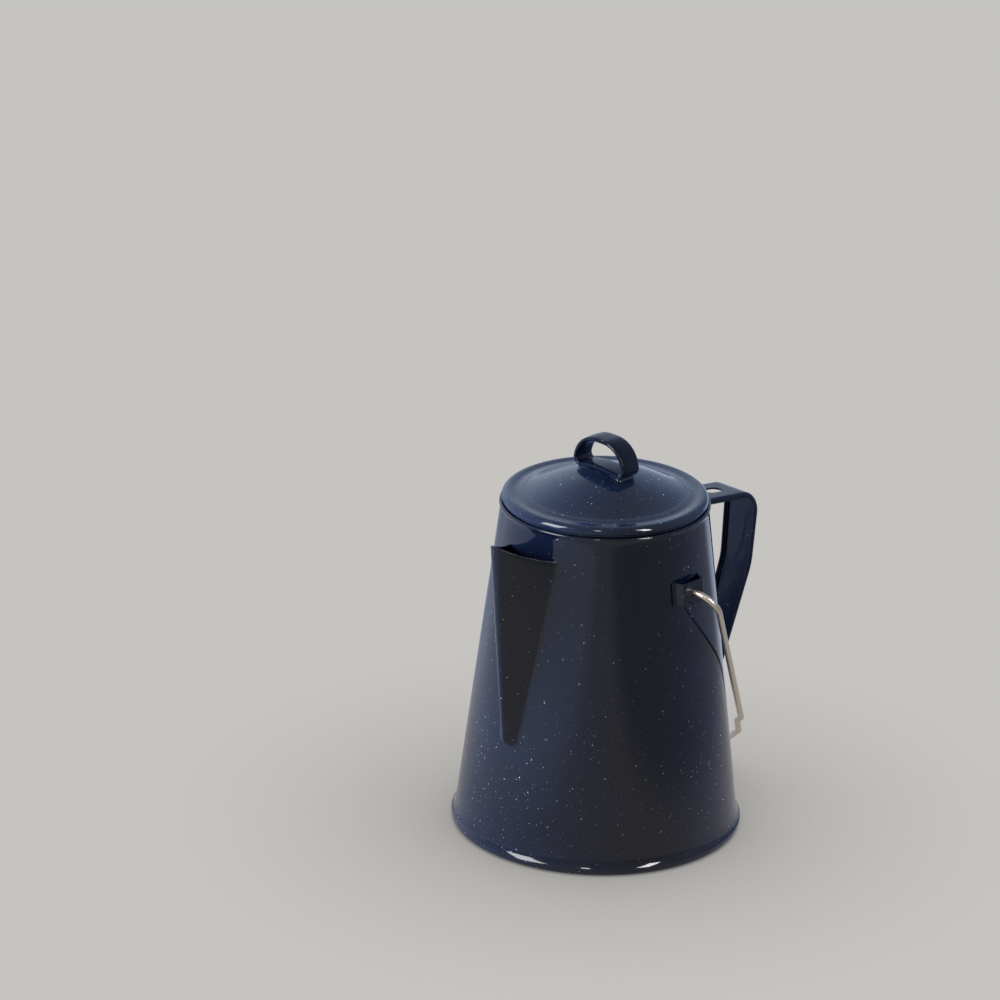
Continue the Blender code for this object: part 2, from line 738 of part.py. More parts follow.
def lid_knob():
    """A strap bent into a D, its two ends turned in under the arch and lying on the dome."""
    top = dome_height(0.0) + KNOB_RISE
    lying = KNOB_LYING_SHARE * KNOB_HALF_SPAN
    sheet = []
    for i in range(KNOB_LYING_STEPS):
        radius = 0.5 * KNOB_SEAM + (lying - 0.5 * KNOB_SEAM) * i / KNOB_LYING_STEPS
        sheet.append(Vector((radius, 0.0, dome_height(radius) + GAP)))
    corners = [
        (lying, 0.0, dome_height(lying) + GAP),
        (KNOB_HALF_SPAN, 0.0, dome_height(KNOB_HALF_SPAN) + GAP),
        (KNOB_LEAN * KNOB_HALF_SPAN, 0.0, top),
        (0.0, 0.0, top),
    ]
    sheet += rounded_path(corners, (KNOB_FOOT_RADIUS, KNOB_ARCH_RADIUS), KNOB_BEND_SIDES)
    inside = []
    for i, point in enumerate(sheet):
        along = (sheet[min(i + 1, len(sheet) - 1)] - sheet[max(i - 1, 0)]).normalized()
        inside.append(point + Vector((-along.z, 0.0, along.x)) * KNOB_STRAP)
    outer_loop = sheet + [Vector((-point.x, 0.0, point.z)) for point in reversed(sheet[:-1])]
    inner_loop = inside + [Vector((-point.x, 0.0, point.z)) for point in reversed(inside[:-1])]
    half = 0.5 * KNOB_WIDTH
    points = [(point.x, -half, point.z) for point in outer_loop + inner_loop[::-1]]
    knob = new_object("lid_knob", extruded("lid_knob", points, (0.0, KNOB_WIDTH, 0.0)), trim_enamel())
    knob.rotation_euler = (0.0, 0.0, KNOB_TURN)
    return knob


def main():
    clear_scene()
    clearance = wall_clearance()
    body_shell()
    base_pan()
    cut(spout(), clearance)
    strap = handle()
    cut(strap, clearance)
    cut(strap, hang_hole_cutter())
    ear("bail_ear_left", 1.0)
    ear("bail_ear_right", -1.0)

    hinge = bpy.data.objects.new("bail_hinge", None)
    bpy.data.collections[PARTS].objects.link(hinge)
    hinge.location = (HINGE_FORWARD, 0.0, HINGE_HEIGHT)
    bail(hinge)

    lift = bpy.data.objects.new("lid_lift", None)
    bpy.data.collections[PARTS].objects.link(lift)
    for piece in (lid_shell(), lid_collar(), lid_knob()):
        piece.parent = lift


main()
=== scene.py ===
"""Builds the visible pieces of an enamelled steel camp coffee pot round its frame, and a stage for it."""

import json
import math

import bmesh
import bpy
from bpy.props import FloatProperty, FloatVectorProperty, PointerProperty
from mathutils import Matrix, Vector


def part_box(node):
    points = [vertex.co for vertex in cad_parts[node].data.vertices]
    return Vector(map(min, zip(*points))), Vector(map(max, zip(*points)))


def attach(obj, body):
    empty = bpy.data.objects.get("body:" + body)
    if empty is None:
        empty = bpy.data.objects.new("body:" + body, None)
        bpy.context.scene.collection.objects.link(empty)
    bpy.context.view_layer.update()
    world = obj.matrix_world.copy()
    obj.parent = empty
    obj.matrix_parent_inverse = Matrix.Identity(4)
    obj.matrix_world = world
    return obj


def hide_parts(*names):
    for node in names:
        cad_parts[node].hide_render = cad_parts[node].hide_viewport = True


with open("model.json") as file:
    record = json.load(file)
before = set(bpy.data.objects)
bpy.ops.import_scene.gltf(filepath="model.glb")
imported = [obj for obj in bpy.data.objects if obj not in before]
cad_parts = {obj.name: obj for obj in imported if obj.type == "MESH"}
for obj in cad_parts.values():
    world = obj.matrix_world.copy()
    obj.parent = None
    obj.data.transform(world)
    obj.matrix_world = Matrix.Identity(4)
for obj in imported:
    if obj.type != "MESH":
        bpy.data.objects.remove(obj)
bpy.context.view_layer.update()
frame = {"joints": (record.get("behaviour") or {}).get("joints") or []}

bl_info = {
    "name": "Enamel Coffee Pot",
    "version": (1, 0, 0),
    "blender": (4, 5, 0),
    "location": "View3D > Sidebar > Coffee Pot",
    "description": "Builds an enamelled camp coffee pot with its spout, handle, bail and lid",
    "category": "Add Mesh",
}

WALL_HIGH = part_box("body_shell")[1]
PAN_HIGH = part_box("base_pan")[1]
LID_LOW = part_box("lid_shell")[0]
COLLAR_LOW, COLLAR_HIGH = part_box("lid_collar")
KNOB_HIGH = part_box("lid_knob")[1]
BAIL_HINGE = next(joint for joint in frame["joints"] if joint["child"] == "bail")["pos_m"]

SEGMENTS = 192  # sides of every turned piece
SINK = 0.0006  # how deep a welded piece runs into the wall

# What the enamel mirrors of the floor, on the camera's side of the pot and behind the pot.
FLOOR_NEAR = (0.34, 0.33, 0.33, 1.0)
FLOOR_NEAR_LEFT = (0.44, 0.47, 0.53, 1.0)
FLOOR_NEAR_RIGHT = (0.19, 0.20, 0.22, 1.0)
FLOOR_FAR_LEFT = (0.27, 0.31, 0.39, 1.0)
FLOOR_FAR_RIGHT = (0.50, 0.58, 0.74, 1.0)
FLOOR_LIGHT = (0.12, 0.12, 0.12, 1.0)  # what the floor throws up on the pot

# What the enamel mirrors of the surroundings, low behind the pot and everywhere else.
SKY_BACK_LEFT = (0.52, 0.58, 0.62, 1.0)
SKY_BACK_RIGHT = (0.13, 0.17, 0.23, 1.0)
SKY_ELSEWHERE = (0.25, 0.25, 0.26, 1.0)
SKY_LIGHT = (0.20, 0.20, 0.21, 1.0)  # what the surroundings throw on the pot

WHITE = (1.0, 1.0, 1.0)
BLUE = (0.66, 0.80, 1.0)  # tint of the lights that give the enamel its blue


# ---------------------------------------------------------------- settings


def length(name, description, default):
    """A property that holds a length in metres."""
    return FloatProperty(name=name, description=description, default=default, unit="LENGTH", precision=5)


def share(name, description, default):
    """A property that holds a plain factor."""
    return FloatProperty(name=name, description=description, default=default, precision=3)


def turn(name, description, default):
    """A property that holds an angle, given here in degrees."""
    angle = math.radians(default)
    return FloatProperty(name=name, description=description, default=angle, subtype="ANGLE", precision=3)


def colour(name, description, default):
    """A property that holds a linear colour."""
    return FloatVectorProperty(
        name=name, description=description, default=default, subtype="COLOR", size=3, min=0.0, max=1.0
    )


class PotSizes(bpy.types.PropertyGroup):
    """Sizes of the tapered body and the pan under it."""

    sheet: length("Sheet", "Thickness of the enamelled sheet", 0.0010)
    rim_bead: length("Rim bead", "Radius of the rolled rim", 0.0010)
    rim_height: length("Rim height", "Height of the middle of the rolled rim", WALL_HIGH.z - 0.0010)
    foot_radius: length("Foot radius", "Outside of the wall, carried down to the table", 0.0751)
    mouth_radius: length("Mouth radius", "Outside of the wall at the rolled rim", 0.0538)
    pan_height: length("Pan height", "Height of the pan's rim", PAN_HIGH.z)
    pan_corner: length("Pan corner", "Rounding of the pan's lower corner", 0.0024)
    flare: length("Flare", "Height over which the wall flares out to the pan's rim", 0.0065)
    hole_radius: length("Strainer hole", "Radius of a strainer hole", 0.0025)
    hole_pitch: length("Strainer pitch", "Spacing of the strainer holes", 0.009)
    hole_lowest: length("Lowest hole", "Height of the lowest strainer hole", 0.092)


class SpoutSizes(bpy.types.PropertyGroup):
    """Sizes of the open trough on the front of the pot."""

    toe_height: length("Toe height", "Height where the ridge reaches its toe", 0.068)
    nose_length: length("Nose length", "How far the toe fades out below that", 0.0065)
    toe_reach: length("Toe reach", "From the wall to the ridge at the toe", 0.0052)
    lip_height: length("Lip height", "Height where the lip leaves the wall", 0.1640)
    lip_rise: length("Lip rise", "How much higher the tip of the lip stands", 0.0115)
    lip_reach: length("Lip reach", "From the wall to the tip of the lip", 0.0268)
    toe_half_width: length("Toe half width", "Half the width at the toe", 0.0060)
    lip_half_width: length("Lip half width", "Half the width at the lip", 0.0170)
    toe_rounding: share("Toe rounding", "Rounding at the toe, as a share of the half width", 0.35)
    lip_rounding: share("Lip rounding", "Rounding at the lip, as a share of the half width", 0.62)
    lip_dip: share("Lip dip", "1 leaves the edge of the lip straight, more curves it", 1.4)
    blend: length("Blend", "Enamel that softens the corner between spout and wall", 0.0011)


class HandleSizes(bpy.types.PropertyGroup):
    """Sizes of the strap handle."""

    top_height: length("Top height", "Height of the upper face at the wall", 0.1668)
    shoulder_drop: length("Shoulder drop", "Fall of the upper face to the outer corner", 0.0072)
    reach: length("Reach", "From the wall to the outer corner", 0.0537)
    corner_radius: length("Corner radius", "Bend at the outer corner", 0.014)
    knee_drop: length("Knee drop", "From the upper face down to the knee", 0.0490)
    knee_inset: length("Knee inset", "How far the knee stands in from the corner", 0.0030)
    knee_radius: length("Knee radius", "Bend at the knee", 0.035)
    end_height: length("End height", "Height of the lower end", 0.0275)
    end_standoff: length("End standoff", "From the wall to the face at the lower end", 0.0016)
    top_half_width: length("Top half width", "Half the width at the top", 0.0116)
    end_half_width: length("End half width", "Half the width at the lower end", 0.0082)
    flange_depth: length("Flange depth", "Outer face to the free edge of the turned sides", 0.0031)
    edge_radius: length("Edge radius", "Rounding of the turned sides", 0.0018)
    hole_length: length("Hole length", "Length of the hanging hole", 0.0115)
    hole_width: length("Hole width", "Width of the hanging hole", 0.0070)
    hole_place: length("Hole place", "From the wall to the middle of the hanging hole", 0.0280)


class BailSizes(bpy.types.PropertyGroup):
    """Sizes of the wire bail and its two ears."""

    ear_height: length("Ear height", "Height of an ear", 0.012)
    ear_face: length("Ear face", "Width of the face of an ear", 0.0145)
    ear_standoff: length("Ear standoff", "From the wall to the outside of the face", 0.0050)
    ear_slant: length("Ear slant", "How far the sides of an ear spread", 0.0008)
    ear_foot: length("Ear foot", "Width of each foot of an ear", 0.0030)
    ear_bend: length("Ear bend", "Rounding of the folds of an ear", 0.0011)
    wire_radius: length("Wire radius", "Radius of the wire", 0.00165)
    clearance: length("Hole clearance", "Room round the wire in the ear", 0.0004)
    standoff: length("Standoff", "From the face of the ear to the line of the arm", 0.0155)
    bend_radius: length("Bend radius", "Bend at the top of an arm", 0.0090)
    tip_height: length("Tip height", "Corner of the tip above the table", 0.0136)
    crook_half_width: length("Crook half width", "Half the width of the crook", 0.0184)
    crook_side: length("Crook side", "Length of the crook's side", 0.0120)
    crook_lean: length("Crook lean", "Spread of the crook's side", 0.0050)
    jog: length("Jog", "Size of the step where the arm meets the crook", 0.0058)
    crook_radius: length("Crook radius", "Bend at the tip", 0.0045)
    head_radius: length("Head radius", "Radius of the flattened end of the wire", 0.0030)
    head_thickness: length("Head thickness", "Thickness of the flattened end", 0.0010)
    head_gap: length("Head gap", "From the wall to the flattened end", 0.0013)
    lean: turn("Lean", "From straight down towards the handle", 36.996)


class LidSizes(bpy.types.PropertyGroup):
    """Sizes of the lid, its collar and its loop."""

    inset: length("Inset", "Lip inside the outside of the wall", 0.0002)
    lip_height: length("Lip height", "Height of the rolled brim", 0.0036)
    brim_rounding: length("Brim rounding", "Rounding of the brim", 0.0032)
    channel_width: length("Channel width", "Width of the channel round the dome", 0.0085)
    channel_depth: length("Channel depth", "Depth of the channel", 0.0006)
    dome_rise: length("Dome rise", "Height of the dome above the brim", 0.0126)
    dome_fullness: share("Dome fullness", "1 is a parabola, more draws in the edge", 1.15)
    dome_foot: length("Dome foot", "Height of the dome's edge above the brim", 0.0004)
    collar_clearance: length("Collar clearance", "Room round the collar in the mouth", 0.0008)
    loop_width: length("Loop width", "Width of the loop's strap", 0.0125)
    loop_strap: length("Loop strap", "Thickness of the loop's strap", 0.0026)
    loop_half_span: length("Loop half span", "Half the span of the loop at its feet", 0.0198)
    loop_lean: share("Loop lean", "Span at the top as a share of the span at the feet", 0.74)
    loop_foot_radius: length("Loop foot radius", "Bend at each foot", 0.0050)
    loop_arch_radius: length("Loop arch radius", "Bend at each shoulder", 0.0155)
    loop_lying: share("Loop lying share", "Share of the half span that lies on the dome", 0.6)
    loop_contact: length("Loop contact", "Half the length of the loop's foot that the enamel joins", 0.0152)
    weld: length("Weld", "Enamel that fills the corner round the loop's foot", 0.0012)


class Finishes(bpy.types.PropertyGroup):
    """Colours of the enamel and the wire. The lid's enamel is the body's made lighter as painted light, and
    the handle's made darker as painted shade.
    """

    body: colour("Body", "Enamel of the body, spout and ears", (0.0088, 0.0140, 0.036))
    # Painted light: the lid's enamel is the body's made about twice as light, for the light that falls on its
    # upper face.
    lid: colour("Lid", "Enamel of the lid", (0.0160, 0.0290, 0.068))
    # Painted shade: the handle and the loop get the body's enamel made a little darker, for the shade that
    # falls on them.
    handle: colour("Handle", "Enamel of the handle and the loop", (0.0072, 0.0118, 0.031))
    speckle: colour("Speckle", "Colour of the speckles", (0.84, 0.87, 0.86))
    wire: colour("Wire", "Colour of the plated wire", (0.95, 0.84, 0.70))


class StageSettings(bpy.types.PropertyGroup):
    """Floor, lights and camera."""

    floor: colour("Floor", "Colour of the floor", (0.56, 0.55, 0.53))
    backdrop: colour("Backdrop", "Colour behind the floor", (0.56, 0.55, 0.53))
    camera_turn: turn("Camera turn", "Side that the camera stands on, from the Y axis", -47.0)
    camera_distance: length("Camera distance", "Along the floor, from the pot's axis", 2.6370)
    camera_height: length("Camera height", "Height of the camera", 1.2116)
    camera_pan: turn("Camera pan", "How far the camera looks to the left of the pot", 1.18)
    camera_tilt: turn("Camera tilt", "How far the camera looks down", 21.41)
    camera_roll: turn("Camera roll", "Turn of the camera about its view", 1.32)
    camera_lens: share("Camera lens", "Focal length in millimetres on a 36 mm sensor", 197.136)


class CoffeePotSettings(bpy.types.PropertyGroup):
    """Every size and colour of the pot, group by group."""

    pot: PointerProperty(type=PotSizes)
    spout: PointerProperty(type=SpoutSizes)
    handle: PointerProperty(type=HandleSizes)
    bail: PointerProperty(type=BailSizes)
    lid: PointerProperty(type=LidSizes)
    finishes: PointerProperty(type=Finishes)
    stage: PointerProperty(type=StageSettings)


# ---------------------------------------------------------------- shapes


def wall_radius(pot, height):
    """Outside radius of the body wall at this height."""
    return pot.foot_radius + (pot.mouth_radius - pot.foot_radius) * height / pot.rim_height


def wall_line(radius, across):
    """Distance from the side plane to a circle of this radius, this far across."""
    return math.sqrt(radius**2 - across**2)


def arc(center, radius, start, end, sides):
    """Points on an arc, both ends included. Angles are in degrees."""
    points = []
    for i in range(sides + 1):
        angle = math.radians(start + (end - start) * i / sides)
        points.append((center[0] + radius * math.cos(angle), center[1] + radius * math.sin(angle)))
    return points


def rounded_path(corners, radii, sides):
    """An open path through these corners, with each inner corner rounded to its radius."""
    points = [Vector(corners[0])]
    for before, corner, after, radius in zip(corners, corners[1:], corners[2:], radii):
        corner = Vector(corner)
        back = (Vector(before) - corner).normalized()
        ahead = (Vector(after) - corner).normalized()
        half = 0.5 * math.acos(max(-1.0, min(1.0, back.dot(ahead))))
        middle = corner + (back + ahead).normalized() * (radius / math.sin(half))
        start = corner + back * (radius / math.tan(half)) - middle
        end = corner + ahead * (radius / math.tan(half)) - middle
        sweep = start.angle(end)
        for i in range(sides + 1):
            part = i / sides
            share_start = math.sin((1.0 - part) * sweep) / math.sin(sweep)
            share_end = math.sin(part * sweep) / math.sin(sweep)
            points.append(middle + start * share_start + end * share_end)
    points.append(Vector(corners[-1]))
    return points


def spaced(points, count):
    """Points at even steps along a path."""
    lengths = [0.0]
    for before, after in zip(points, points[1:]):
        lengths.append(lengths[-1] + (after - before).length)
    found = []
    for i in range(count):
        wanted = lengths[-1] * i / (count - 1)
        j = 0
        while j < len(points) - 2 and lengths[j + 1] < wanted:
            j += 1
        step = (wanted - lengths[j]) / (lengths[j + 1] - lengths[j])
        found.append(points[j].lerp(points[j + 1], step))
    return found


def fresh_object(name, data):
    """A new object in the scene that holds this mesh, light or camera."""
    made = bpy.data.objects.new(name, data)
    bpy.context.scene.collection.objects.link(made)
    return made


def object_of(name, shape):
    """A new object made of this shape, with its faces turned outwards."""
    mesh = bpy.data.meshes.new(name)
    bmesh.ops.recalc_face_normals(shape, faces=shape.faces)
    shape.to_mesh(mesh)
    shape.free()
    return fresh_object(name, mesh)


def grid(name, rows, rows_closed=False, columns_closed=False):
    """A surface through rows of points, all with the same count. A closed one faces outwards."""
    shape = bmesh.new()
    verts = [[shape.verts.new(point) for point in row] for row in rows]
    row_pairs = list(zip(verts, verts[1:]))
    if rows_closed:
        row_pairs.append((verts[-1], verts[0]))
    for row, after in row_pairs:
        for i in range(len(row) - 1):
            shape.faces.new((row[i], row[i + 1], after[i + 1], after[i]))
        if columns_closed:
            shape.faces.new((row[-1], row[0], after[0], after[-1]))
    if columns_closed and not rows_closed:
        shape.faces.new(verts[0][::-1])
        shape.faces.new(verts[-1])
    return object_of(name, shape)


def lathe(name, profile, closed):
    """A profile of (radius, height) points turned about Z. An open one starts and ends on the axis."""
    on_axis = 1e-7
    shape = bmesh.new()
    rings = []
    for radius, height in profile:
        if radius < on_axis:
            rings.append([shape.verts.new((0.0, 0.0, height))])
            continue
        ring = []
        for i in range(SEGMENTS):
            angle = 2.0 * math.pi * i / SEGMENTS
            ring.append(shape.verts.new((radius * math.cos(angle), radius * math.sin(angle), height)))
        rings.append(ring)
    pairs = list(zip(rings, rings[1:]))
    if closed:
        pairs.append((rings[-1], rings[0]))
    for ring, after in pairs:
        for i in range(SEGMENTS):
            j = (i + 1) % SEGMENTS
            if len(ring) == 1:
                shape.faces.new((ring[0], after[i], after[j]))
            elif len(after) == 1:
                shape.faces.new((ring[i], after[0], ring[j]))
            else:
                shape.faces.new((ring[i], after[i], after[j], ring[j]))
    return object_of(name, shape)


def applied(made):
    """Makes an object's modifiers part of its mesh."""
    bpy.context.view_layer.update()
    graph = bpy.context.evaluated_depsgraph_get()
    mesh = bpy.data.meshes.new_from_object(made.evaluated_get(graph))
    made.modifiers.clear()
    old = made.data
    made.data = mesh
    mesh.name = made.name
    bpy.data.meshes.remove(old)
    return made


def thickened(made, thickness, along_normals):
    """Gives a sheet its thickness, on the side that its normals point to or on the other side."""
    solidify = made.modifiers.new("sheet", "SOLIDIFY")
    solidify.thickness = thickness
    solidify.offset = 1.0 if along_normals else -1.0
    solidify.use_even_offset = True
    return applied(made)


def softened(made, width, angle=50.0):
    """Rounds every edge that is sharper than the angle, given in degrees."""
    bevel = made.modifiers.new("soft_edges", "BEVEL")
    bevel.width = width
    bevel.segments = 3
    bevel.limit_method = "ANGLE"
    bevel.angle_limit = math.radians(angle)
    bevel.use_clamp_overlap = True
    return applied(made)


def cut(made, cutter):
    """Cuts one object out of another and removes the cutter."""
    boolean = made.modifiers.new("cut", "BOOLEAN")
    boolean.operation = "DIFFERENCE"
    boolean.object = cutter
    boolean.solver = "EXACT"
    applied(made)
    bpy.data.objects.remove(cutter, do_unlink=True)
    return made


def rod_mesh(shape, middle, axis, radius, depth, sides):
    """Adds a round rod, centred on a point and along an axis."""
    made = bmesh.ops.create_cone(
        shape, cap_ends=True, segments=sides, radius1=radius, radius2=radius, depth=depth
    )
    turned = Vector((0.0, 0.0, 1.0)).rotation_difference(Vector(axis)).to_matrix()
    bmesh.ops.rotate(shape, verts=made["verts"], matrix=turned)
    bmesh.ops.translate(shape, verts=made["verts"], vec=middle)


def held_in_wall(made, pot, deepest):
    """Draws back whatever runs further into the wall than this, so that nothing shows inside the pot."""
    for vert in made.data.vertices:
        out = math.hypot(vert.co.x, vert.co.y)
        least = wall_radius(pot, vert.co.z) - deepest
        if out < least:
            vert.co.x *= least / out
            vert.co.y *= least / out
    return made


def smooth(made, angle=40.0):
    """Shades a piece smooth, except across edges sharper than the angle, given in degrees."""
    made.data.shade_smooth()
    made.data.set_sharp_from_angle(angle=math.radians(angle))
    return made


def fillet_ring(name, outline, floor_of, size):
    """Enamel that fills the corner between a raised outline and the surface under it.

    The outline is a list of ((x, y), (outward x, outward y)).
    floor_of takes x, y and a lift, and gives the point that far above the surface.
    """
    sides = 6
    sink = 0.0002  # how far the ring runs into the surface
    rows = []
    for i in range(sides + 1):
        angle = 0.5 * math.pi * i / sides
        away = size * (1.0 - math.sin(angle)) - sink * math.sin(angle)
        lift = size * (1.0 - math.cos(angle)) - sink * math.cos(angle)
        rows.append([floor_of(x + nx * away, y + ny * away, lift) for (x, y), (nx, ny) in outline])
    rows.append([floor_of(x - nx * size, y - ny * size, size) for (x, y), (nx, ny) in outline])
    rows.append([floor_of(x - nx * size, y - ny * size, -sink) for (x, y), (nx, ny) in outline])
    return grid(name, [list(row) for row in zip(*rows)], rows_closed=True, columns_closed=True)


def rounded_rectangle(half_x, half_y, radius, sides):
    """Points and outward directions round a rounded rectangle."""
    found = []
    for sign_x, sign_y, start in ((1, 1, 0.0), (-1, 1, 90.0), (-1, -1, 180.0), (1, -1, 270.0)):
        center = (sign_x * (half_x - radius), sign_y * (half_y - radius))
        for i in range(sides + 1):
            angle = math.radians(start + 90.0 * i / sides)
            out = (math.cos(angle), math.sin(angle))
            found.append(((center[0] + radius * out[0], center[1] + radius * out[1]), out))
    return found


# ---------------------------------------------------------------- finishes


class Nodes:
    """Adds nodes to a material, laid out in columns."""

    def __init__(self, tree):
        self.tree = tree
        self.count = 0

    def add(self, kind, values=None, **settings):
        """A node with these settings. A value is a constant for an input, or a socket to link to it."""
        made = self.tree.nodes.new(kind)
        made.location = (-1500.0 + 190.0 * (self.count // 5), 500.0 - 240.0 * (self.count % 5))
        self.count += 1
        for key, value in settings.items():
            setattr(made, key, value)
        for key, value in (values or {}).items():
            if isinstance(value, bpy.types.NodeSocket):
                self.tree.links.new(value, made.inputs[key])
            else:
                made.inputs[key].default_value = value
        return made

    def math(self, operation, first, second=0.0):
        return self.add("ShaderNodeMath", {0: first, 1: second}, operation=operation).outputs[0]

    def vector(self, operation, first, second):
        """Vector arithmetic. Scaling takes a plain factor, and a dot product gives a plain value."""
        key = "Scale" if operation == "SCALE" else 1
        output = "Value" if operation == "DOT_PRODUCT" else 0
        made = self.add("ShaderNodeVectorMath", {0: first, key: second}, operation=operation)
        return made.outputs[output]

    def fit(self, value, low, high, new_low=0.0, new_high=1.0, kind="LINEAR"):
        """Moves a value from one range to another, and keeps it there."""
        values = {0: value, 1: low, 2: high, 3: new_low, 4: new_high}
        return self.add("ShaderNodeMapRange", values, interpolation_type=kind).outputs[0]

    def noise(self, where, scale, detail=2.0, roughness=0.5):
        values = {"Vector": where, "Scale": scale, "Detail": detail, "Roughness": roughness}
        return self.add("ShaderNodeTexNoise", values).outputs["Fac"]

    def mix(self, amount, first, second):
        """The first colour where the amount is 0, and the second where it is 1."""
        values = {0: amount, 6: first, 7: second}
        return self.add("ShaderNodeMix", values, data_type="RGBA").outputs[2]

    def bump(self, height, strength, distance, under=None):
        """Raises the surface by this height, on top of the bump under it."""
        values = {"Strength": strength, "Distance": distance, "Height": height}
        if under is not None:
            values["Normal"] = under
        return self.add("ShaderNodeBump", values).outputs[0]


def blank_material(name):
    """A material with no nodes yet, and the helper that adds them."""
    material = bpy.data.materials.new(name)
    material.use_nodes = True
    material.node_tree.nodes.clear()
    return material, Nodes(material.node_tree)


def speckle_layer(nodes, where, cell, radius, kept, strength):
    """Round speckles, one at most in each cell, whose size and strength differ from one to the next."""
    scale = 1.0 / cell
    smallest = 0.45  # as a share of the largest
    faintest = 0.35  # as a share of the brightest
    soft_edge = 0.00016
    settings = {"voronoi_dimensions": "3D", "feature": "F1"}
    spots = nodes.add("ShaderNodeTexVoronoi", {"Vector": where, "Scale": scale}, **settings)
    drawn = nodes.add("ShaderNodeSeparateColor", {"Color": spots.outputs["Color"]})
    chance, size, light = drawn.outputs[0], drawn.outputs[1], drawn.outputs[2]
    shown = nodes.math("LESS_THAN", chance, kept)
    sizes = (smallest * radius * scale, radius * scale)
    reach = nodes.fit(nodes.math("POWER", size, 1.6), 0.0, 1.0, *sizes)
    inside = nodes.math("SUBTRACT", reach, spots.outputs["Distance"])
    disc = nodes.fit(inside, 0.0, soft_edge * scale, kind="SMOOTHSTEP")
    bright = nodes.fit(nodes.math("POWER", light, 1.5), 0.0, 1.0, faintest * strength, strength)
    return nodes.math("MULTIPLY", nodes.math("MULTIPLY", disc, shown), bright)


def enamel(name, base, speckle, amount, densest_below=None, coat=0.35, specular=0.5):
    """Glossy vitreous enamel: a slightly uneven deep colour, fine speckles and a faintly rippled surface."""
    material, nodes = blank_material(name)
    place = nodes.add("ShaderNodeTexCoord").outputs["Object"]

    # Where the speckles are read is moved about a little, so that they aren't perfectly round.
    uneven = {"Vector": place, "Scale": 900.0, "Detail": 2.0}
    ragged = nodes.add("ShaderNodeTexNoise", uneven).outputs["Color"]
    shift = nodes.vector("SUBTRACT", ragged, (0.5, 0.5, 0.5))
    where = nodes.vector("ADD", place, nodes.vector("SCALE", shift, 0.0005))

    # The speckles gather in loose clusters, and on the body they thin out above its foot.
    clusters = nodes.noise(place, 34.0, 2.0)
    density = nodes.fit(clusters, 0.30, 0.68, 0.25, 1.0)
    if densest_below is not None:
        height = nodes.add("ShaderNodeSeparateXYZ", {0: place}).outputs[2]
        fall = nodes.fit(height, densest_below, densest_below + 0.10, 1.0, 0.50)
        density = nodes.math("MULTIPLY", density, fall)
    density = nodes.math("MULTIPLY", density, amount)

    # Spacing, largest radius and strength of the big speckles, the middle ones and the dust.
    layers = ((0.0031, 0.00048, 1.0), (0.0020, 0.00034, 0.80), (0.0013, 0.00022, 0.45))
    big, middle, dust = [
        speckle_layer(nodes, where, cell, radius, density, strength) for cell, radius, strength in layers
    ]
    speckles = nodes.math("MAXIMUM", nodes.math("MAXIMUM", big, middle), dust)

    # The ground drifts between a darker and a lighter tone.
    tone = nodes.fit(nodes.noise(place, 16.0, 3.0, 0.6), 0.3, 0.7)
    darker = (*[0.80 * part for part in base], 1.0)
    lighter = (*[1.18 * part for part in base], 1.0)
    ground = nodes.mix(tone, darker, lighter)
    painted = nodes.mix(speckles, ground, (*speckle, 1.0))

    # The surface has smears in its gloss, a slow ripple, a fine orange peel and a grain at each speckle.
    smears = nodes.noise(place, 55.0, 4.0, 0.6)
    roughness = nodes.fit(smears, 0.35, 0.75, 0.055, 0.135)
    ripple = nodes.bump(nodes.noise(place, 95.0, 1.0), 0.30, 0.00018)
    peel = nodes.bump(nodes.noise(place, 620.0, 1.0), 0.12, 0.000012, ripple)
    grains = nodes.bump(speckles, 0.20, 0.00002, peel)
    finish = {
        "Base Color": painted,
        "Roughness": roughness,
        "Normal": grains,
        "IOR": 1.52,
        "Specular IOR Level": specular,
        "Coat Weight": coat,
        "Coat Roughness": 0.03,
    }
    shader = nodes.add("ShaderNodeBsdfPrincipled", finish)
    nodes.add("ShaderNodeOutputMaterial", {"Surface": shader.outputs[0]})
    return material


def plated_wire(name, base):
    """Bright nickel plating on drawn wire, with faint draw marks and a little tarnish."""
    material, nodes = blank_material(name)
    place = nodes.add("ShaderNodeTexCoord").outputs["Object"]
    clouds = nodes.noise(place, 120.0, 4.0, 0.6)
    tarnish = nodes.fit(clouds, 0.45, 0.85, 0.0, 0.25)
    tarnished = (0.55 * base[0], 0.50 * base[1], 0.44 * base[2], 1.0)
    painted = nodes.mix(tarnish, (*base, 1.0), tarnished)
    grain = nodes.noise(place, 1500.0, 3.0, 0.7)
    roughness = nodes.fit(grain, 0.3, 0.7, 0.24, 0.36)
    marks = nodes.bump(grain, 0.08, 0.00001)
    dents = nodes.bump(nodes.noise(place, 210.0, 1.0), 0.08, 0.00005, marks)
    finish = {"Base Color": painted, "Roughness": roughness, "Normal": dents, "Metallic": 0.88}
    shader = nodes.add("ShaderNodeBsdfPrincipled", finish)
    nodes.add("ShaderNodeOutputMaterial", {"Surface": shader.outputs[0]})
    return material


def finish_of(slot):
    """The material of a slot, made when it is first asked for."""
    name = "finish_" + slot
    found = bpy.data.materials.get(name)
    if found is not None:
        return found
    finishes = bpy.context.scene.coffee_pot.finishes
    if slot == "bail_wire":
        return plated_wire(name, tuple(finishes.wire))
    speckle = tuple(finishes.speckle)
    # Painted light: the lid's lighter colour, used on the lid and the enamel round the loop's foot.
    if slot == "lid_enamel":
        return enamel(name, tuple(finishes.lid), speckle, 0.85)
    # Painted shade: the darker colour of the handle and the loop.
    if slot == "handle_enamel":
        return enamel(name, tuple(finishes.handle), speckle, 0.30, coat=0.08, specular=0.30)
    return enamel(name, tuple(finishes.body), speckle, 1.10, densest_below=0.05)


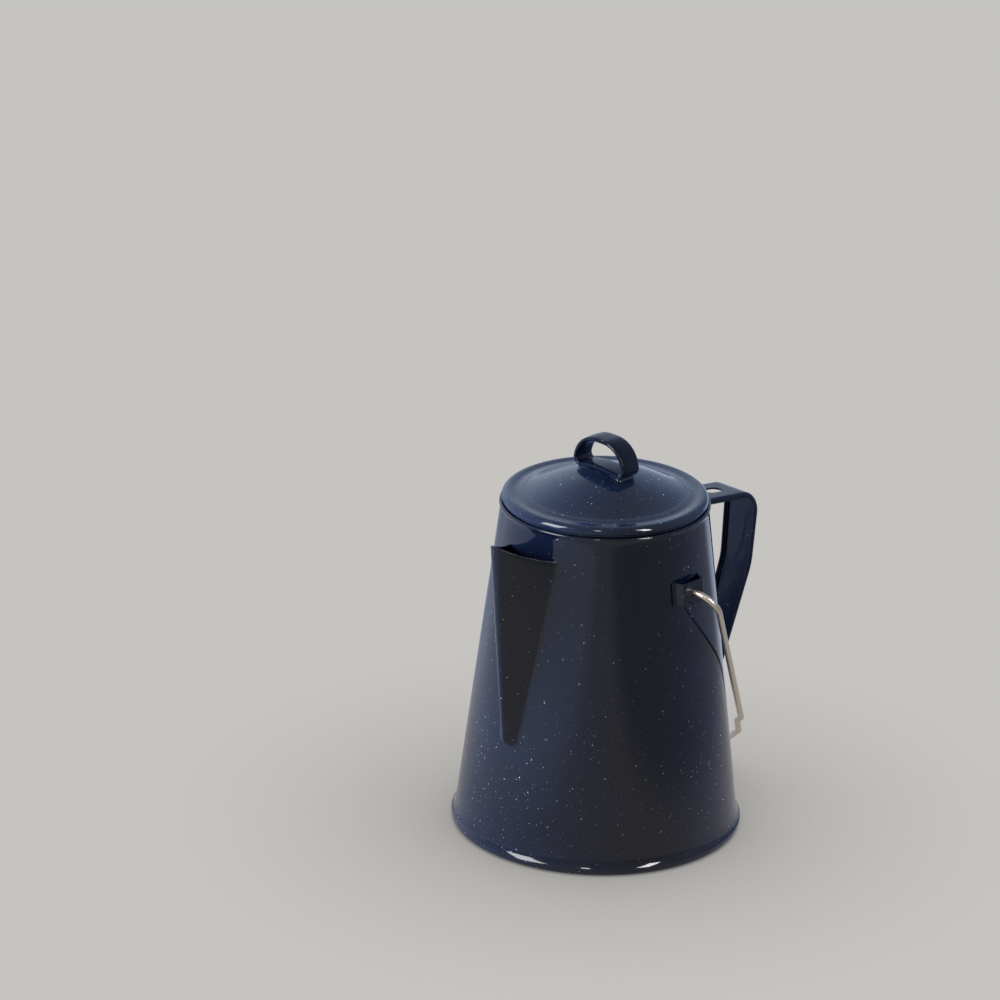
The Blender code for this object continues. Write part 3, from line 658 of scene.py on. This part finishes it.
def place_piece(made, body, slot, *nodes):
    """Gives a piece its finish, puts it on its body and hides the solids it stands for."""
    made.data.materials.clear()
    made.data.materials.append(finish_of(slot))
    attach(made, body)
    if nodes:
        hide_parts(*nodes)
    return made


# ---------------------------------------------------------------- body


def spout_half_width(spout, height):
    """Half the width of the spout where it meets the wall."""
    part = (height - spout.toe_height) / (spout.lip_height - spout.toe_height)
    return spout.toe_half_width + (spout.lip_half_width - spout.toe_half_width) * part


def strainer_holes(pot, spout):
    """Rods through the wall, as many in each row as the spout covers there."""
    shape = bmesh.new()
    highest = spout.lip_height - 0.012
    through = 0.010  # length of a rod, well over the thickness of the wall
    rows = 1 + math.floor((highest - pot.hole_lowest) / pot.hole_pitch)
    for row in range(rows):
        height = pot.hole_lowest + pot.hole_pitch * row
        free = 2.0 * (spout_half_width(spout, height) - 2.0 * pot.sheet - pot.hole_radius)
        count = 1 + max(0, math.floor(free / pot.hole_pitch))
        radius = wall_radius(pot, height)
        for i in range(count):
            across = (i - 0.5 * (count - 1)) * pot.hole_pitch
            angle = math.pi - across / radius
            outward = Vector((math.cos(angle), math.sin(angle), 0.0))
            middle = outward * radius + Vector((0.0, 0.0, height))
            rod_mesh(shape, middle, outward, pot.hole_radius, through, 24)
    return object_of("strainer_rods", shape)


def body_wall(pot, spout):
    """The tapered wall with its rolled rim, its strainer and the enamel in the corner at its foot."""
    sheet = pot.sheet
    bead = (wall_radius(pot, pot.rim_height) - sheet + pot.rim_bead, pot.rim_height)
    profile = arc(bead, pot.rim_bead, 180.0, -55.0, 20)

    # The outside: the bead runs into the wall over a short neck, then the wall runs straight down.
    neck = 0.0012
    neck_bulge = 0.00006
    under = pot.rim_height - 1.9 * pot.rim_bead
    profile.append((wall_radius(pot, under) + neck_bulge, under))
    profile.append((wall_radius(pot, under - neck), under - neck))
    steps = 24
    for i in range(1, steps + 1):
        height = under - neck + (sheet - under + neck) * i / steps
        profile.append((wall_radius(pot, height), height))

    # The inside: the enamel in the corner at the foot, then the wall straight up to the bead.
    corner = 0.0022
    floor = sheet - 0.0001
    inside = wall_radius(pot, 0.004) - sheet
    profile.append((inside - corner, floor))
    profile += arc((inside - corner, floor + 0.0024), corner, 270.0, 350.0, 6)
    first = 0.0045
    last = pot.rim_height - 0.006
    steps = 7
    for i in range(1, steps + 1):
        height = first + (last - first) * i / steps
        profile.append((wall_radius(pot, height) - sheet, height))
    wall = lathe("pot_wall", profile, closed=True)
    cut(wall, strainer_holes(pot, spout))
    return smooth(wall, 32.0)


def base_dish(pot):
    """The pan under the wall, its rounded edge and the enamel that flares out onto it from the wall."""
    seam = wall_radius(pot, 0.0) + 0.0013
    outer = min(PAN_HIGH.x, PAN_HIGH.y)
    rim = pot.pan_height - 0.0016  # where the flare ends
    top = rim + pot.flare
    profile = [(0.0, pot.sheet), (seam - 0.004, pot.sheet), (seam - 0.0018, pot.sheet)]
    profile.append((wall_radius(pot, top) - 0.0004, top - 0.0006))

    # The flare mixes a long gentle curve with a short tight one at the rim.
    film = 0.00004  # how far the enamel stands out of the wall at the top of the flare
    gentle, gentle_power = 0.62, 2.2
    tight, tight_power = 0.38, 7
    reach = outer - wall_radius(pot, rim) - film
    steps = 14
    for i in range(steps + 1):
        part = i / steps
        height = top - pot.flare * part
        stand = reach * (gentle * part**gentle_power + tight * part**tight_power) + film
        profile.append((wall_radius(pot, height) + stand, height))
    profile.append((outer, 0.5 * (rim + pot.pan_corner)))
    profile += arc((outer - pot.pan_corner, pot.pan_corner), pot.pan_corner, 0.0, -90.0, 14)
    profile.append((0.6 * outer, 0.0))
    profile.append((0.0, 0.0))
    return smooth(lathe("pot_base", profile, closed=False))


class COFFEEPOT_OT_body(bpy.types.Operator):
    """Adds the tapered wall with its strainer, and the pan under it"""

    bl_idname = "coffee_pot.body"
    bl_label = "Add Body"

    def execute(self, context):
        settings = context.scene.coffee_pot
        place_piece(body_wall(settings.pot, settings.spout), "pot", "body_enamel", "body_shell")
        place_piece(base_dish(settings.pot), "pot", "body_enamel", "base_pan")
        return {"FINISHED"}


# ---------------------------------------------------------------- spout


def spout_part(spout, height):
    """How far up the spout a height is, from 0 at the toe and below it to 1 at the lip."""
    return max(0.0, (height - spout.toe_height) / (spout.lip_height - spout.toe_height))


def trough_height(spout, height, across):
    """How far the trough stands out of the wall here, before the seam is softened, and at its ridge."""
    part = spout_part(spout, height)
    rounding = spout.toe_rounding + (spout.lip_rounding - spout.toe_rounding) * part
    outer = math.hypot(1.0, rounding)
    reach = spout.toe_reach + (spout.lip_reach - spout.toe_reach) * part
    half = spout_half_width(spout, max(height, spout.toe_height))
    drop = 0.0
    if height < spout.toe_height:
        # Below the toe the ridge rounds over into the wall, and then runs on inside it.
        plunge = 1.6  # how steeply it runs in, once past the nose
        fade = (spout.toe_height - height) / spout.nose_length
        drop = reach * (1.0 - math.sqrt(max(0.0, 1.0 - min(fade, 1.0) ** 2)))
        drop += reach * plunge * max(0.0, fade - 1.0)
    swell = (outer - math.hypot(across / half, rounding)) / (outer - rounding)
    return reach * swell - drop, reach


def spout_sheet(pot, spout):
    """Points of the outer face, row by row from below the toe to the lip."""
    columns = 44  # on each side of the ridge
    crowding = 1.15  # over 1 draws the columns towards the ridge
    margin = 0.0034  # how much wider the sheet is than the spout on each side
    sunk = 0.00012  # how far its free edge lies under the face of the wall
    fade = 1.55  # how far below the toe it starts, in nose lengths
    steps = 14
    heights = [spout.toe_height - spout.nose_length * (fade - fade * i / steps) for i in range(steps)]
    steps = 40
    for i in range(steps + 1):
        heights.append(spout.toe_height + (spout.lip_height - spout.toe_height) * i / steps)
    rows = []
    for height in heights:
        part = spout_part(spout, height)
        half = spout_half_width(spout, max(height, spout.toe_height)) + margin
        radius = wall_radius(pot, height)
        row = []
        for i in range(-columns, columns + 1):
            across = half * (abs(i) / columns) ** crowding * (1 if i > 0 else -1)
            raw, reach = trough_height(spout, height, across)
            soft = 0.5 * (raw + math.hypot(raw, spout.blend))
            lift = spout.lip_rise * part**2 * (max(0.0, raw) / reach) ** spout.lip_dip
            row.append(Vector((-wall_line(radius, across) - (soft - sunk), across, height + lift)))
        rows.append(row)
    return rows


class COFFEEPOT_OT_spout(bpy.types.Operator):
    """Adds the open trough spout, softened into the wall"""

    bl_idname = "coffee_pot.spout"
    bl_label = "Add Spout"

    def execute(self, context):
        settings = context.scene.coffee_pot
        pot = settings.pot
        trough = grid("pour_spout", spout_sheet(pot, settings.spout))
        middle = trough.data.polygons[len(trough.data.polygons) // 2]
        thickened(trough, pot.sheet, middle.normal.x >= 0.0)
        held_in_wall(trough, pot, SINK)
        softened(trough, width=0.00038, angle=60.0)
        place_piece(smooth(trough), "pot", "body_enamel", "spout")
        return {"FINISHED"}


# ---------------------------------------------------------------- handle


def handle_path(pot, handle):
    """Middle of the outer face, from the wall over the corner and down to the wall."""
    top_x = wall_radius(pot, handle.top_height)
    corner = (top_x + handle.reach, handle.top_height - handle.shoulder_drop)
    knee = (corner[0] - handle.knee_inset, handle.top_height - handle.knee_drop)
    end = (wall_radius(pot, handle.end_height) + handle.end_standoff, handle.end_height)
    start = (top_x - 2.0 * pot.sheet, handle.top_height)
    corners = [(x, 0.0, z) for x, z in (start, corner, knee, end)]
    return rounded_path(corners, (handle.corner_radius, handle.knee_radius), 40)


def strap_section(handle, point, outward, half_width):
    """The strap across its width: one turned edge, the crowned face and the other turned edge."""
    radius = handle.edge_radius
    half = [(half_width, -handle.flange_depth), (half_width, -0.5 * (handle.flange_depth + radius))]
    half += arc((half_width - radius, -radius), radius, 0.0, 90.0, 8)
    half += [(part * half_width, 0.0) for part in (0.66, 0.33, 0.0)]
    across = half + [(-side, depth) for side, depth in half[-2::-1]]
    return [point + outward * depth + Vector((0.0, side, 0.0)) for side, depth in across]


def strap_sheet(pot, handle):
    """Points of the strap's outer face, row by row from the top of the handle to its lower end."""
    path = spaced(handle_path(pot, handle), 110)
    rows = []
    for i, point in enumerate(path):
        along = (path[min(i + 1, len(path) - 1)] - path[max(i - 1, 0)]).normalized()
        outward = Vector((-along.z, 0.0, along.x))
        part = max(0.0, (handle.top_height - point.z) / (handle.top_height - handle.end_height))
        half_width = handle.top_half_width + (handle.end_half_width - handle.top_half_width) * part
        rows.append(strap_section(handle, point, outward, half_width))
    return rows


def hanging_hole(pot, handle):
    """An oval rod through the top of the strap."""
    straight = 0.5 * (handle.hole_length - handle.hole_width)
    middle = wall_radius(pot, handle.top_height) + handle.hole_place
    radius = 0.5 * handle.hole_width
    outline = arc((middle + straight, 0.0), radius, -90.0, 90.0, 18)
    outline += arc((middle - straight, 0.0), radius, 90.0, 270.0, 18)
    low = handle.top_height - 0.018
    high = low + 0.025
    rows = [[(x, y, height) for x, y in outline] for height in (low, high)]
    return grid("hole_rod", rows, columns_closed=True)


class COFFEEPOT_OT_handle(bpy.types.Operator):
    """Adds the strap handle with its turned edges and its hanging hole"""

    bl_idname = "coffee_pot.handle"
    bl_label = "Add Handle"

    def execute(self, context):
        settings = context.scene.coffee_pot
        pot, handle = settings.pot, settings.handle
        strap = grid("strap_handle", strap_sheet(pot, handle))
        first = strap.data.polygons[len(strap.data.polygons) // 4]
        thickened(strap, pot.sheet, first.normal.z <= 0.0)
        cut(strap, hanging_hole(pot, handle))
        held_in_wall(strap, pot, SINK)
        softened(strap, width=0.00034)
        place_piece(smooth(strap), "pot", "handle_enamel", "handle")
        return {"FINISHED"}


# ---------------------------------------------------------------- bail


def ear_strip(pot, bail, name, side):
    """A strip bent into a hat with rounded folds, its feet on the wall."""
    forward = BAIL_HINGE[0]
    hinge = BAIL_HINGE[2]
    low = hinge - 0.5 * bail.ear_height
    radius = wall_radius(pot, low)
    face = radius + bail.ear_standoff
    half_face = 0.5 * bail.ear_face
    fold = half_face + bail.ear_slant + pot.sheet
    foot = half_face + bail.ear_slant + bail.ear_foot
    seat = radius + pot.sheet

    corners = []
    for way in (-1.0, 1.0):
        half = [
            (forward + way * foot, wall_line(seat, forward + way * foot)),
            (forward + way * fold, wall_line(seat, forward + way * fold)),
            (forward + way * half_face, face),
        ]
        corners += half if way < 0.0 else half[::-1]
    path = rounded_path([(x, y, 0.0) for x, y in corners], [bail.ear_bend] * 4, 6)
    lean = wall_radius(pot, hinge + 0.5 * bail.ear_height) - radius
    rows = []
    steps = 6
    for i in range(steps + 1):
        part = i / steps
        height = low + bail.ear_height * part
        rows.append([Vector((point.x, side * (point.y + lean * part), height)) for point in path])
    strip = grid(name, rows)
    middle = strip.data.polygons[len(path) // 2]
    thickened(strip, pot.sheet, middle.normal.y * side <= 0.0)
    shape = bmesh.new()
    at = (forward, side * face, hinge)
    through = 4.0 * bail.ear_standoff
    rod_mesh(shape, at, (0.0, 1.0, 0.0), bail.wire_radius + bail.clearance, through, 32)
    cut(strip, object_of("ear_rod", shape))
    held_in_wall(strip, pot, SINK)
    softened(strip, width=0.00028)
    return smooth(strip)


class COFFEEPOT_OT_ears(bpy.types.Operator):
    """Adds the two ears that carry the bail"""

    bl_idname = "coffee_pot.ears"
    bl_label = "Add Bail Ears"

    def execute(self, context):
        settings = context.scene.coffee_pot
        for side, name in ((1.0, "left"), (-1.0, "right")):
            strip = ear_strip(settings.pot, settings.bail, "ear_" + name, side)
            place_piece(strip, "pot", "body_enamel", "bail_ear_" + name)
        return {"FINISHED"}


def wire_route(pot, bail):
    """Half of the wire, from the head inside the ear to the middle of the crook, hanging straight down."""
    hinge = BAIL_HINGE[2]
    drop = (hinge - bail.tip_height) / math.cos(bail.lean)
    wall = wall_radius(pot, hinge)
    start = wall + bail.head_gap + 0.5 * bail.head_thickness
    arm = wall + bail.ear_standoff + bail.standoff
    tip_start = drop - bail.crook_half_width
    side_start = tip_start - bail.crook_side
    side_out = bail.crook_half_width + bail.crook_lean
    corners = [
        (0.0, start, 0.0),
        (0.0, arm, 0.0),
        (0.0, side_out + bail.jog, -side_start + bail.jog),
        (0.0, side_out, -side_start),
        (0.0, bail.crook_half_width, -tip_start),
        (0.0, 0.0, -drop),
        (0.0, -bail.crook_half_width, -tip_start),
    ]
    bend = 0.5 * bail.crook_radius
    sides = 12
    points = rounded_path(corners, (bail.bend_radius, bend, bend, bend, bail.crook_radius), sides)
    return points[: -1 - sides // 2]


def swept(name, route, radius, sides):
    """A round wire along a route that lies in one plane."""
    across = Vector((1.0, 0.0, 0.0))
    rows = []
    for i, point in enumerate(route):
        along = (route[min(i + 1, len(route) - 1)] - route[max(i - 1, 0)]).normalized()
        beside = across.cross(along).normalized()
        row = []
        for j in range(sides):
            angle = 2.0 * math.pi * j / sides
            row.append(point + across * (radius * math.cos(angle)) + beside * (radius * math.sin(angle)))
        rows.append(row)
    return grid(name, rows, columns_closed=True)


class COFFEEPOT_OT_bail(bpy.types.Operator):
    """Adds the wire bail, leaning on the handle side"""

    bl_idname = "coffee_pot.bail"
    bl_label = "Add Bail"

    def execute(self, context):
        settings = context.scene.coffee_pot
        pot, bail = settings.pot, settings.bail
        half = wire_route(pot, bail)
        route = half + [Vector((0.0, -point.y, point.z)) for point in reversed(half[:-1])]
        wire = swept("bail_wire", route, bail.wire_radius, 24)
        shape = bmesh.new()
        shape.from_mesh(wire.data)
        middle = wall_radius(pot, BAIL_HINGE[2]) + bail.head_gap + 0.5 * bail.head_thickness
        for side in (-1.0, 1.0):
            at = (0.0, side * middle, 0.0)
            rod_mesh(shape, at, (0.0, 1.0, 0.0), bail.head_radius, bail.head_thickness, 32)
        shape.to_mesh(wire.data)
        shape.free()
        wire.data.transform(
            Matrix.Translation(Vector(BAIL_HINGE)) @ Matrix.Rotation(-bail.lean, 4, "Y")
        )
        place_piece(smooth(wire), "bail", "bail_wire", "bail")
        return {"FINISHED"}


# ---------------------------------------------------------------- lid


def lid_profile(pot, lid):
    """Upper face of the lid, from the middle to the free edge of the lip."""
    lip = pot.mouth_radius - lid.inset
    crest = LID_LOW.z + lid.lip_height
    rounding = lid.brim_rounding
    channel_outer = lip - rounding
    channel_inner = channel_outer - lid.channel_width
    points = []
    sides = 40
    for i in range(sides + 1):
        part = i / sides
        height = lid.dome_rise * (1.0 - part**2) ** lid.dome_fullness + lid.dome_foot * part**8
        points.append((channel_inner * part, crest + height))
    sides = 16
    for i in range(1, sides):
        part = i / sides
        dip = lid.channel_depth * math.sin(math.pi * part) ** 2
        foot = lid.dome_foot * (1.0 - part) ** 2
        points.append((channel_inner + lid.channel_width * part, crest + foot - dip))
    points += arc((channel_outer, crest - rounding), rounding, 90.0, 0.0, 14)
    points.append((lip, LID_LOW.z + 0.0002))  # above the rounding of the free edge
    return points


def dome_height(pot, lid, radius):
    """Height of the lid's upper face this far from its middle."""
    points = lid_profile(pot, lid)
    for before, after in zip(points, points[1:]):
        if before[0] <= radius <= after[0]:
            part = (radius - before[0]) / (after[0] - before[0])
            return before[1] + (after[1] - before[1]) * part
    return points[-1][1]


def lid_skin(pot, lid):
    """The lid with its own thickness and a rounded free edge."""
    upper = lid_profile(pot, lid)
    lower = []
    for i, point in enumerate(upper):
        before = Vector(upper[max(i - 1, 0)])
        after = Vector(upper[min(i + 1, len(upper) - 1)])
        along = (after - before).normalized()
        lower.append((max(0.0, point[0] + along.y * pot.sheet), point[1] - along.x * pot.sheet))
    lower[0] = (0.0, upper[0][1] - pot.sheet)
    lip = upper[-1][0]
    soft = 0.00012
    edge = [(lip - soft, LID_LOW.z), (lip - pot.sheet + soft, LID_LOW.z)]
    profile = upper + edge + lower[::-1]
    return smooth(lathe("lid_dome", profile, closed=False))


def collar_ring(pot, lid):
    """The skirt under the lid, with softened corners."""
    outer = wall_radius(pot, pot.rim_height) - pot.sheet - lid.collar_clearance
    inner = outer - pot.sheet
    top = COLLAR_HIGH.z
    bottom = COLLAR_LOW.z
    flange = COLLAR_HIGH.x
    soft = 0.0003
    fold = 0.0008  # rounding where the skirt turns out into its flange
    profile = [(inner, top - soft), (inner + soft, top), (flange - soft, top), (flange, top - soft)]
    profile += [(flange, top - pot.sheet + soft), (flange - soft, top - pot.sheet)]
    profile += arc((outer + fold, top - pot.sheet - fold), fold, 90.0, 180.0, 5)
    profile += [(outer, bottom + soft), (outer - soft, bottom)]
    profile += [(inner + soft, bottom), (inner, bottom + soft)]
    return smooth(lathe("lid_skirt", profile, closed=True))


class COFFEEPOT_OT_lid(bpy.types.Operator):
    """Adds the domed lid and the skirt under it"""

    bl_idname = "coffee_pot.lid"
    bl_label = "Add Lid"

    def execute(self, context):
        settings = context.scene.coffee_pot
        place_piece(lid_skin(settings.pot, settings.lid), "lid", "lid_enamel", "lid_shell")
        place_piece(collar_ring(settings.pot, settings.lid), "lid", "lid_enamel", "lid_collar")
        return {"FINISHED"}


def loop_path(pot, lid):
    """Half of the strap's middle line as (across, height), from the middle of the dome over to the top."""
    top = KNOB_HIGH.z
    seat = 0.5 * lid.loop_strap
    lying = lid.loop_lying * lid.loop_half_span
    path = []
    steps = 8
    for i in range(steps):
        radius = lying * i / steps
        path.append(Vector((0.0, radius, dome_height(pot, lid, radius) + seat)))
    span = lid.loop_half_span - seat
    corners = [
        (0.0, lying, dome_height(pot, lid, lying) + seat),
        (0.0, span, dome_height(pot, lid, span) + seat),
        (0.0, lid.loop_lean * lid.loop_half_span - seat, top - seat),
        (0.0, 0.0, top - seat),
    ]
    radii = (lid.loop_foot_radius - seat, lid.loop_arch_radius - seat)
    return path + rounded_path(corners, radii, 16)


def loop_section(lid):
    """The strap across its width, crowned on both faces and with thick rounded edges, as (across, depth)."""
    half = 0.5 * lid.loop_width
    deep = 0.5 * lid.loop_strap
    edge = 0.86 * deep
    crown = ((0.0, 0.0), (0.30, 0.00003), (0.55, 0.00011))  # part of the half width, fall of the face
    upper = [(part * half, deep - fall) for part, fall in crown]
    upper += arc((half - edge, 0.0), edge, 72.0, 0.0, 8)
    right = upper + [(across, -depth) for across, depth in upper[-2::-1]]
    return right[:0:-1] + [(-across, depth) for across, depth in right[:-1]]


class COFFEEPOT_OT_loop(bpy.types.Operator):
    """Adds the strap loop on the lid and the enamel round its foot"""

    bl_idname = "coffee_pot.loop"
    bl_label = "Add Lid Loop"

    def execute(self, context):
        settings = context.scene.coffee_pot
        pot, lid = settings.pot, settings.lid
        half = loop_path(pot, lid)
        route = half + [Vector((0.0, -point.y, point.z)) for point in half[-2:0:-1]]
        section = loop_section(lid)
        rows = []
        for i, point in enumerate(route):
            along = (route[(i + 1) % len(route)] - route[i - 1]).normalized()
            outward = Vector((0.0, -along.z, along.y))
            row = [point + Vector((across, 0.0, 0.0)) + outward * depth for across, depth in section]
            rows.append(row)
        loop = grid("lid_loop", rows, rows_closed=True, columns_closed=True)
        place_piece(smooth(loop), "lid", "handle_enamel", "lid_knob")

        def on_dome(x, y, lift):
            return Vector((x, y, dome_height(pot, lid, math.hypot(x, y)) + lift))

        under = 0.5 * lid.loop_width - 0.0004  # a little inside the strap's edges
        outline = rounded_rectangle(under, lid.loop_contact, radius=0.0016, sides=6)
        fill = fillet_ring("loop_weld", outline, on_dome, lid.weld)
        place_piece(smooth(fill, 60.0), "lid", "lid_enamel")
        return {"FINISHED"}


# ---------------------------------------------------------------- stage


def aimed(place, target):
    """A matrix that puts something at a place and points its -Z at the target."""
    look = (Vector(target) - Vector(place)).to_track_quat("-Z", "Y")
    return Matrix.Translation(place) @ look.to_matrix().to_4x4()


def soft_light(name, stage, azimuth, elevation, distance, size, power, role, tint=WHITE):
    """A rectangular light, placed by its azimuth from the camera and its elevation, in degrees.

    Its role is "glint" where only shiny surfaces mirror it, or "fill" where it is never mirrored.
    """
    turned = stage.camera_turn + math.radians(azimuth)
    rise = math.radians(elevation)
    level = math.cos(rise)
    toward = Vector((math.sin(turned) * level, -math.cos(turned) * level, math.sin(rise)))
    target = Vector((0.0, 0.0, 0.10))
    data = bpy.data.lights.new(name, "AREA")
    data.shape = "RECTANGLE"
    data.size, data.size_y = size
    data.energy = power
    data.color = tint
    lamp = fresh_object(name, data)
    lamp.matrix_world = aimed(target + toward * distance, target)
    lamp.visible_diffuse = role == "fill"
    lamp.visible_glossy = role == "glint"


def camera_directions(stage):
    """Level directions from the camera past the pot, and to the camera's left."""
    away = (-math.sin(stage.camera_turn), math.cos(stage.camera_turn), 0.0)
    left = (-math.cos(stage.camera_turn), -math.sin(stage.camera_turn), 0.0)
    return away, left


def floor_material(stage):
    """A plain pale floor with a soft shadow under the pot. The enamel mirrors it in tones of its own."""
    material, nodes = blank_material("stage_floor")
    place = nodes.add("ShaderNodeTexCoord").outputs["Object"]
    shut_in = nodes.add("ShaderNodeAmbientOcclusion", {"Distance": 0.16}, samples=8).outputs["AO"]
    open_sky = nodes.fit(shut_in, 0.25, 1.0)
    shadow = (*[0.30 * part for part in stage.floor], 1.0)
    shown = nodes.mix(open_sky, shadow, (*stage.floor, 1.0))

    # The mirrored tones lie side by side on the floor, and every range is in metres from the pot's axis.
    away, left = camera_directions(stage)
    depth = nodes.vector("DOT_PRODUCT", place, away)
    leftward = nodes.vector("DOT_PRODUCT", place, left)
    left_side = nodes.fit(leftward, 0.08, 0.26, kind="SMOOTHSTEP")
    right_side = nodes.fit(leftward, -0.30, -0.10, 1.0, 0.0, kind="SMOOTHSTEP")
    near = nodes.mix(left_side, FLOOR_NEAR, FLOOR_NEAR_LEFT)
    near = nodes.mix(right_side, near, FLOOR_NEAR_RIGHT)
    flank = nodes.fit(leftward, -0.06, 0.06, kind="SMOOTHSTEP")
    far = nodes.mix(flank, FLOOR_FAR_RIGHT, FLOOR_FAR_LEFT)
    spread = nodes.math("MULTIPLY", nodes.math("ABSOLUTE", leftward), 0.9)
    beyond = nodes.fit(nodes.math("SUBTRACT", depth, spread), 0.0, 0.15, kind="SMOOTHSTEP")
    mirrored = nodes.mix(beyond, near, far)

    rays = nodes.add("ShaderNodeLightPath")
    hidden = nodes.mix(rays.outputs["Is Diffuse Ray"], mirrored, FLOOR_LIGHT)
    glow_hidden = nodes.add("ShaderNodeEmission", {"Color": hidden})
    glow_shown = nodes.add("ShaderNodeEmission", {"Color": shown})
    glows = {0: rays.outputs["Is Camera Ray"], 1: glow_hidden.outputs[0], 2: glow_shown.outputs[0]}
    shader = nodes.add("ShaderNodeMixShader", glows)
    nodes.add("ShaderNodeOutputMaterial", {"Surface": shader.outputs[0]})
    return material


def surroundings(stage):
    """Pale where they are seen, dim where they light the pot, and brighter low at the back where mirrored."""
    world = bpy.data.worlds.new("studio")
    bpy.context.scene.world = world
    world.use_nodes = True
    world.node_tree.nodes.clear()
    nodes = Nodes(world.node_tree)
    toward = nodes.add("ShaderNodeTexCoord").outputs["Generated"]
    away, left = camera_directions(stage)
    facing = nodes.vector("DOT_PRODUCT", toward, away)
    leftward = nodes.vector("DOT_PRODUCT", toward, left)
    height = nodes.add("ShaderNodeSeparateXYZ", {0: toward}).outputs[2]

    # The bright part reaches higher on the left than on the right.
    slanted = nodes.math("SUBTRACT", height, nodes.math("MULTIPLY", leftward, 0.22))
    low = nodes.fit(slanted, 0.36, 0.84, 1.0, 0.0, kind="SMOOTHSTEP")
    back = nodes.math("MULTIPLY", low, nodes.fit(facing, 0.0, 0.55, kind="SMOOTHSTEP"))
    toned = nodes.mix(nodes.fit(leftward, -0.5, 0.1), SKY_BACK_RIGHT, SKY_BACK_LEFT)
    mirrored = nodes.mix(back, SKY_ELSEWHERE, toned)
    rays = nodes.add("ShaderNodeLightPath")
    lit = nodes.mix(rays.outputs["Is Diffuse Ray"], mirrored, SKY_LIGHT)
    seen = nodes.mix(rays.outputs["Is Camera Ray"], lit, (*stage.backdrop, 1.0))
    light = nodes.add("ShaderNodeBackground", {"Color": seen, "Strength": 1.0})
    nodes.add("ShaderNodeOutputWorld", {"Surface": light.outputs[0]})


def put_camera(stage):
    """A camera at its place on the stage, looking past the pot's axis."""
    data = bpy.data.cameras.new("camera")
    data.sensor_width = 36.0
    data.lens = stage.camera_lens
    data.clip_end = 50.0
    camera = fresh_object("camera", data)
    side = stage.camera_turn
    distance = stage.camera_distance
    place = Vector((math.sin(side) * distance, -math.cos(side) * distance, stage.camera_height))
    heading = Matrix.Rotation(side + stage.camera_pan, 4, "Z")
    tilt = Matrix.Rotation(0.5 * math.pi - stage.camera_tilt, 4, "X")
    roll = Matrix.Rotation(stage.camera_roll, 4, "Z")
    camera.matrix_world = Matrix.Translation(place) @ heading @ tilt @ roll
    bpy.context.scene.camera = camera


class COFFEEPOT_OT_stage(bpy.types.Operator):
    """Adds the floor, the lights and the camera"""

    bl_idname = "coffee_pot.stage"
    bl_label = "Add Stage"

    def execute(self, context):
        stage = context.scene.coffee_pot.stage
        shape = bmesh.new()
        bmesh.ops.create_circle(shape, cap_ends=True, segments=96, radius=6.0)
        floor = object_of("floor", shape)
        floor.data.materials.append(floor_material(stage))
        soft_light("left_softbox", stage, -60.0, 30.0, 1.3, (0.50, 0.80), 10.0, "glint")
        soft_light("right_softbox", stage, 48.0, 34.0, 1.3, (0.20, 0.70), 6.0, "glint")
        soft_light("front_strip", stage, -8.0, 48.0, 1.4, (0.12, 0.30), 0.9, "glint")
        soft_light("left_side", stage, -88.0, 13.0, 1.4, (1.00, 0.80), 37.0, "fill", BLUE)
        soft_light("right_side", stage, 120.0, 13.0, 1.4, (0.80, 0.60), 21.0, "fill", BLUE)
        soft_light("back", stage, 178.0, 27.0, 1.4, (1.2, 0.5), 46.0, "fill", BLUE)
        surroundings(stage)
        put_camera(stage)
        context.scene.view_settings.view_transform = "Standard"
        return {"FINISHED"}


# ---------------------------------------------------------------- panel and registration


OPERATORS = (
    COFFEEPOT_OT_body,
    COFFEEPOT_OT_spout,
    COFFEEPOT_OT_handle,
    COFFEEPOT_OT_ears,
    COFFEEPOT_OT_bail,
    COFFEEPOT_OT_lid,
    COFFEEPOT_OT_loop,
    COFFEEPOT_OT_stage,
)


class COFFEEPOT_PT_panel(bpy.types.Panel):
    """Lists the pieces of the coffee pot in the sidebar"""

    bl_label = "Coffee Pot"
    bl_idname = "COFFEEPOT_PT_panel"
    bl_space_type = "VIEW_3D"
    bl_region_type = "UI"
    bl_category = "Coffee Pot"

    def draw(self, context):
        for operator in OPERATORS:
            self.layout.operator(operator.bl_idname)


CLASSES = (
    PotSizes,
    SpoutSizes,
    HandleSizes,
    BailSizes,
    LidSizes,
    Finishes,
    StageSettings,
    CoffeePotSettings,
    *OPERATORS,
    COFFEEPOT_PT_panel,
)


def register():
    """Adds the settings, the operators and the panel."""
    for item in CLASSES:
        bpy.utils.register_class(item)
    bpy.types.Scene.coffee_pot = PointerProperty(type=CoffeePotSettings)


def unregister():
    """Takes away what register() added."""
    del bpy.types.Scene.coffee_pot
    for item in reversed(CLASSES):
        bpy.utils.unregister_class(item)


def main():
    """Builds the stage and every piece."""
    register()
    bpy.ops.coffee_pot.stage()
    bpy.ops.coffee_pot.body()
    bpy.ops.coffee_pot.spout()
    bpy.ops.coffee_pot.handle()
    bpy.ops.coffee_pot.ears()
    bpy.ops.coffee_pot.bail()
    bpy.ops.coffee_pot.lid()
    bpy.ops.coffee_pot.loop()


if __name__ == "__main__":
    main()
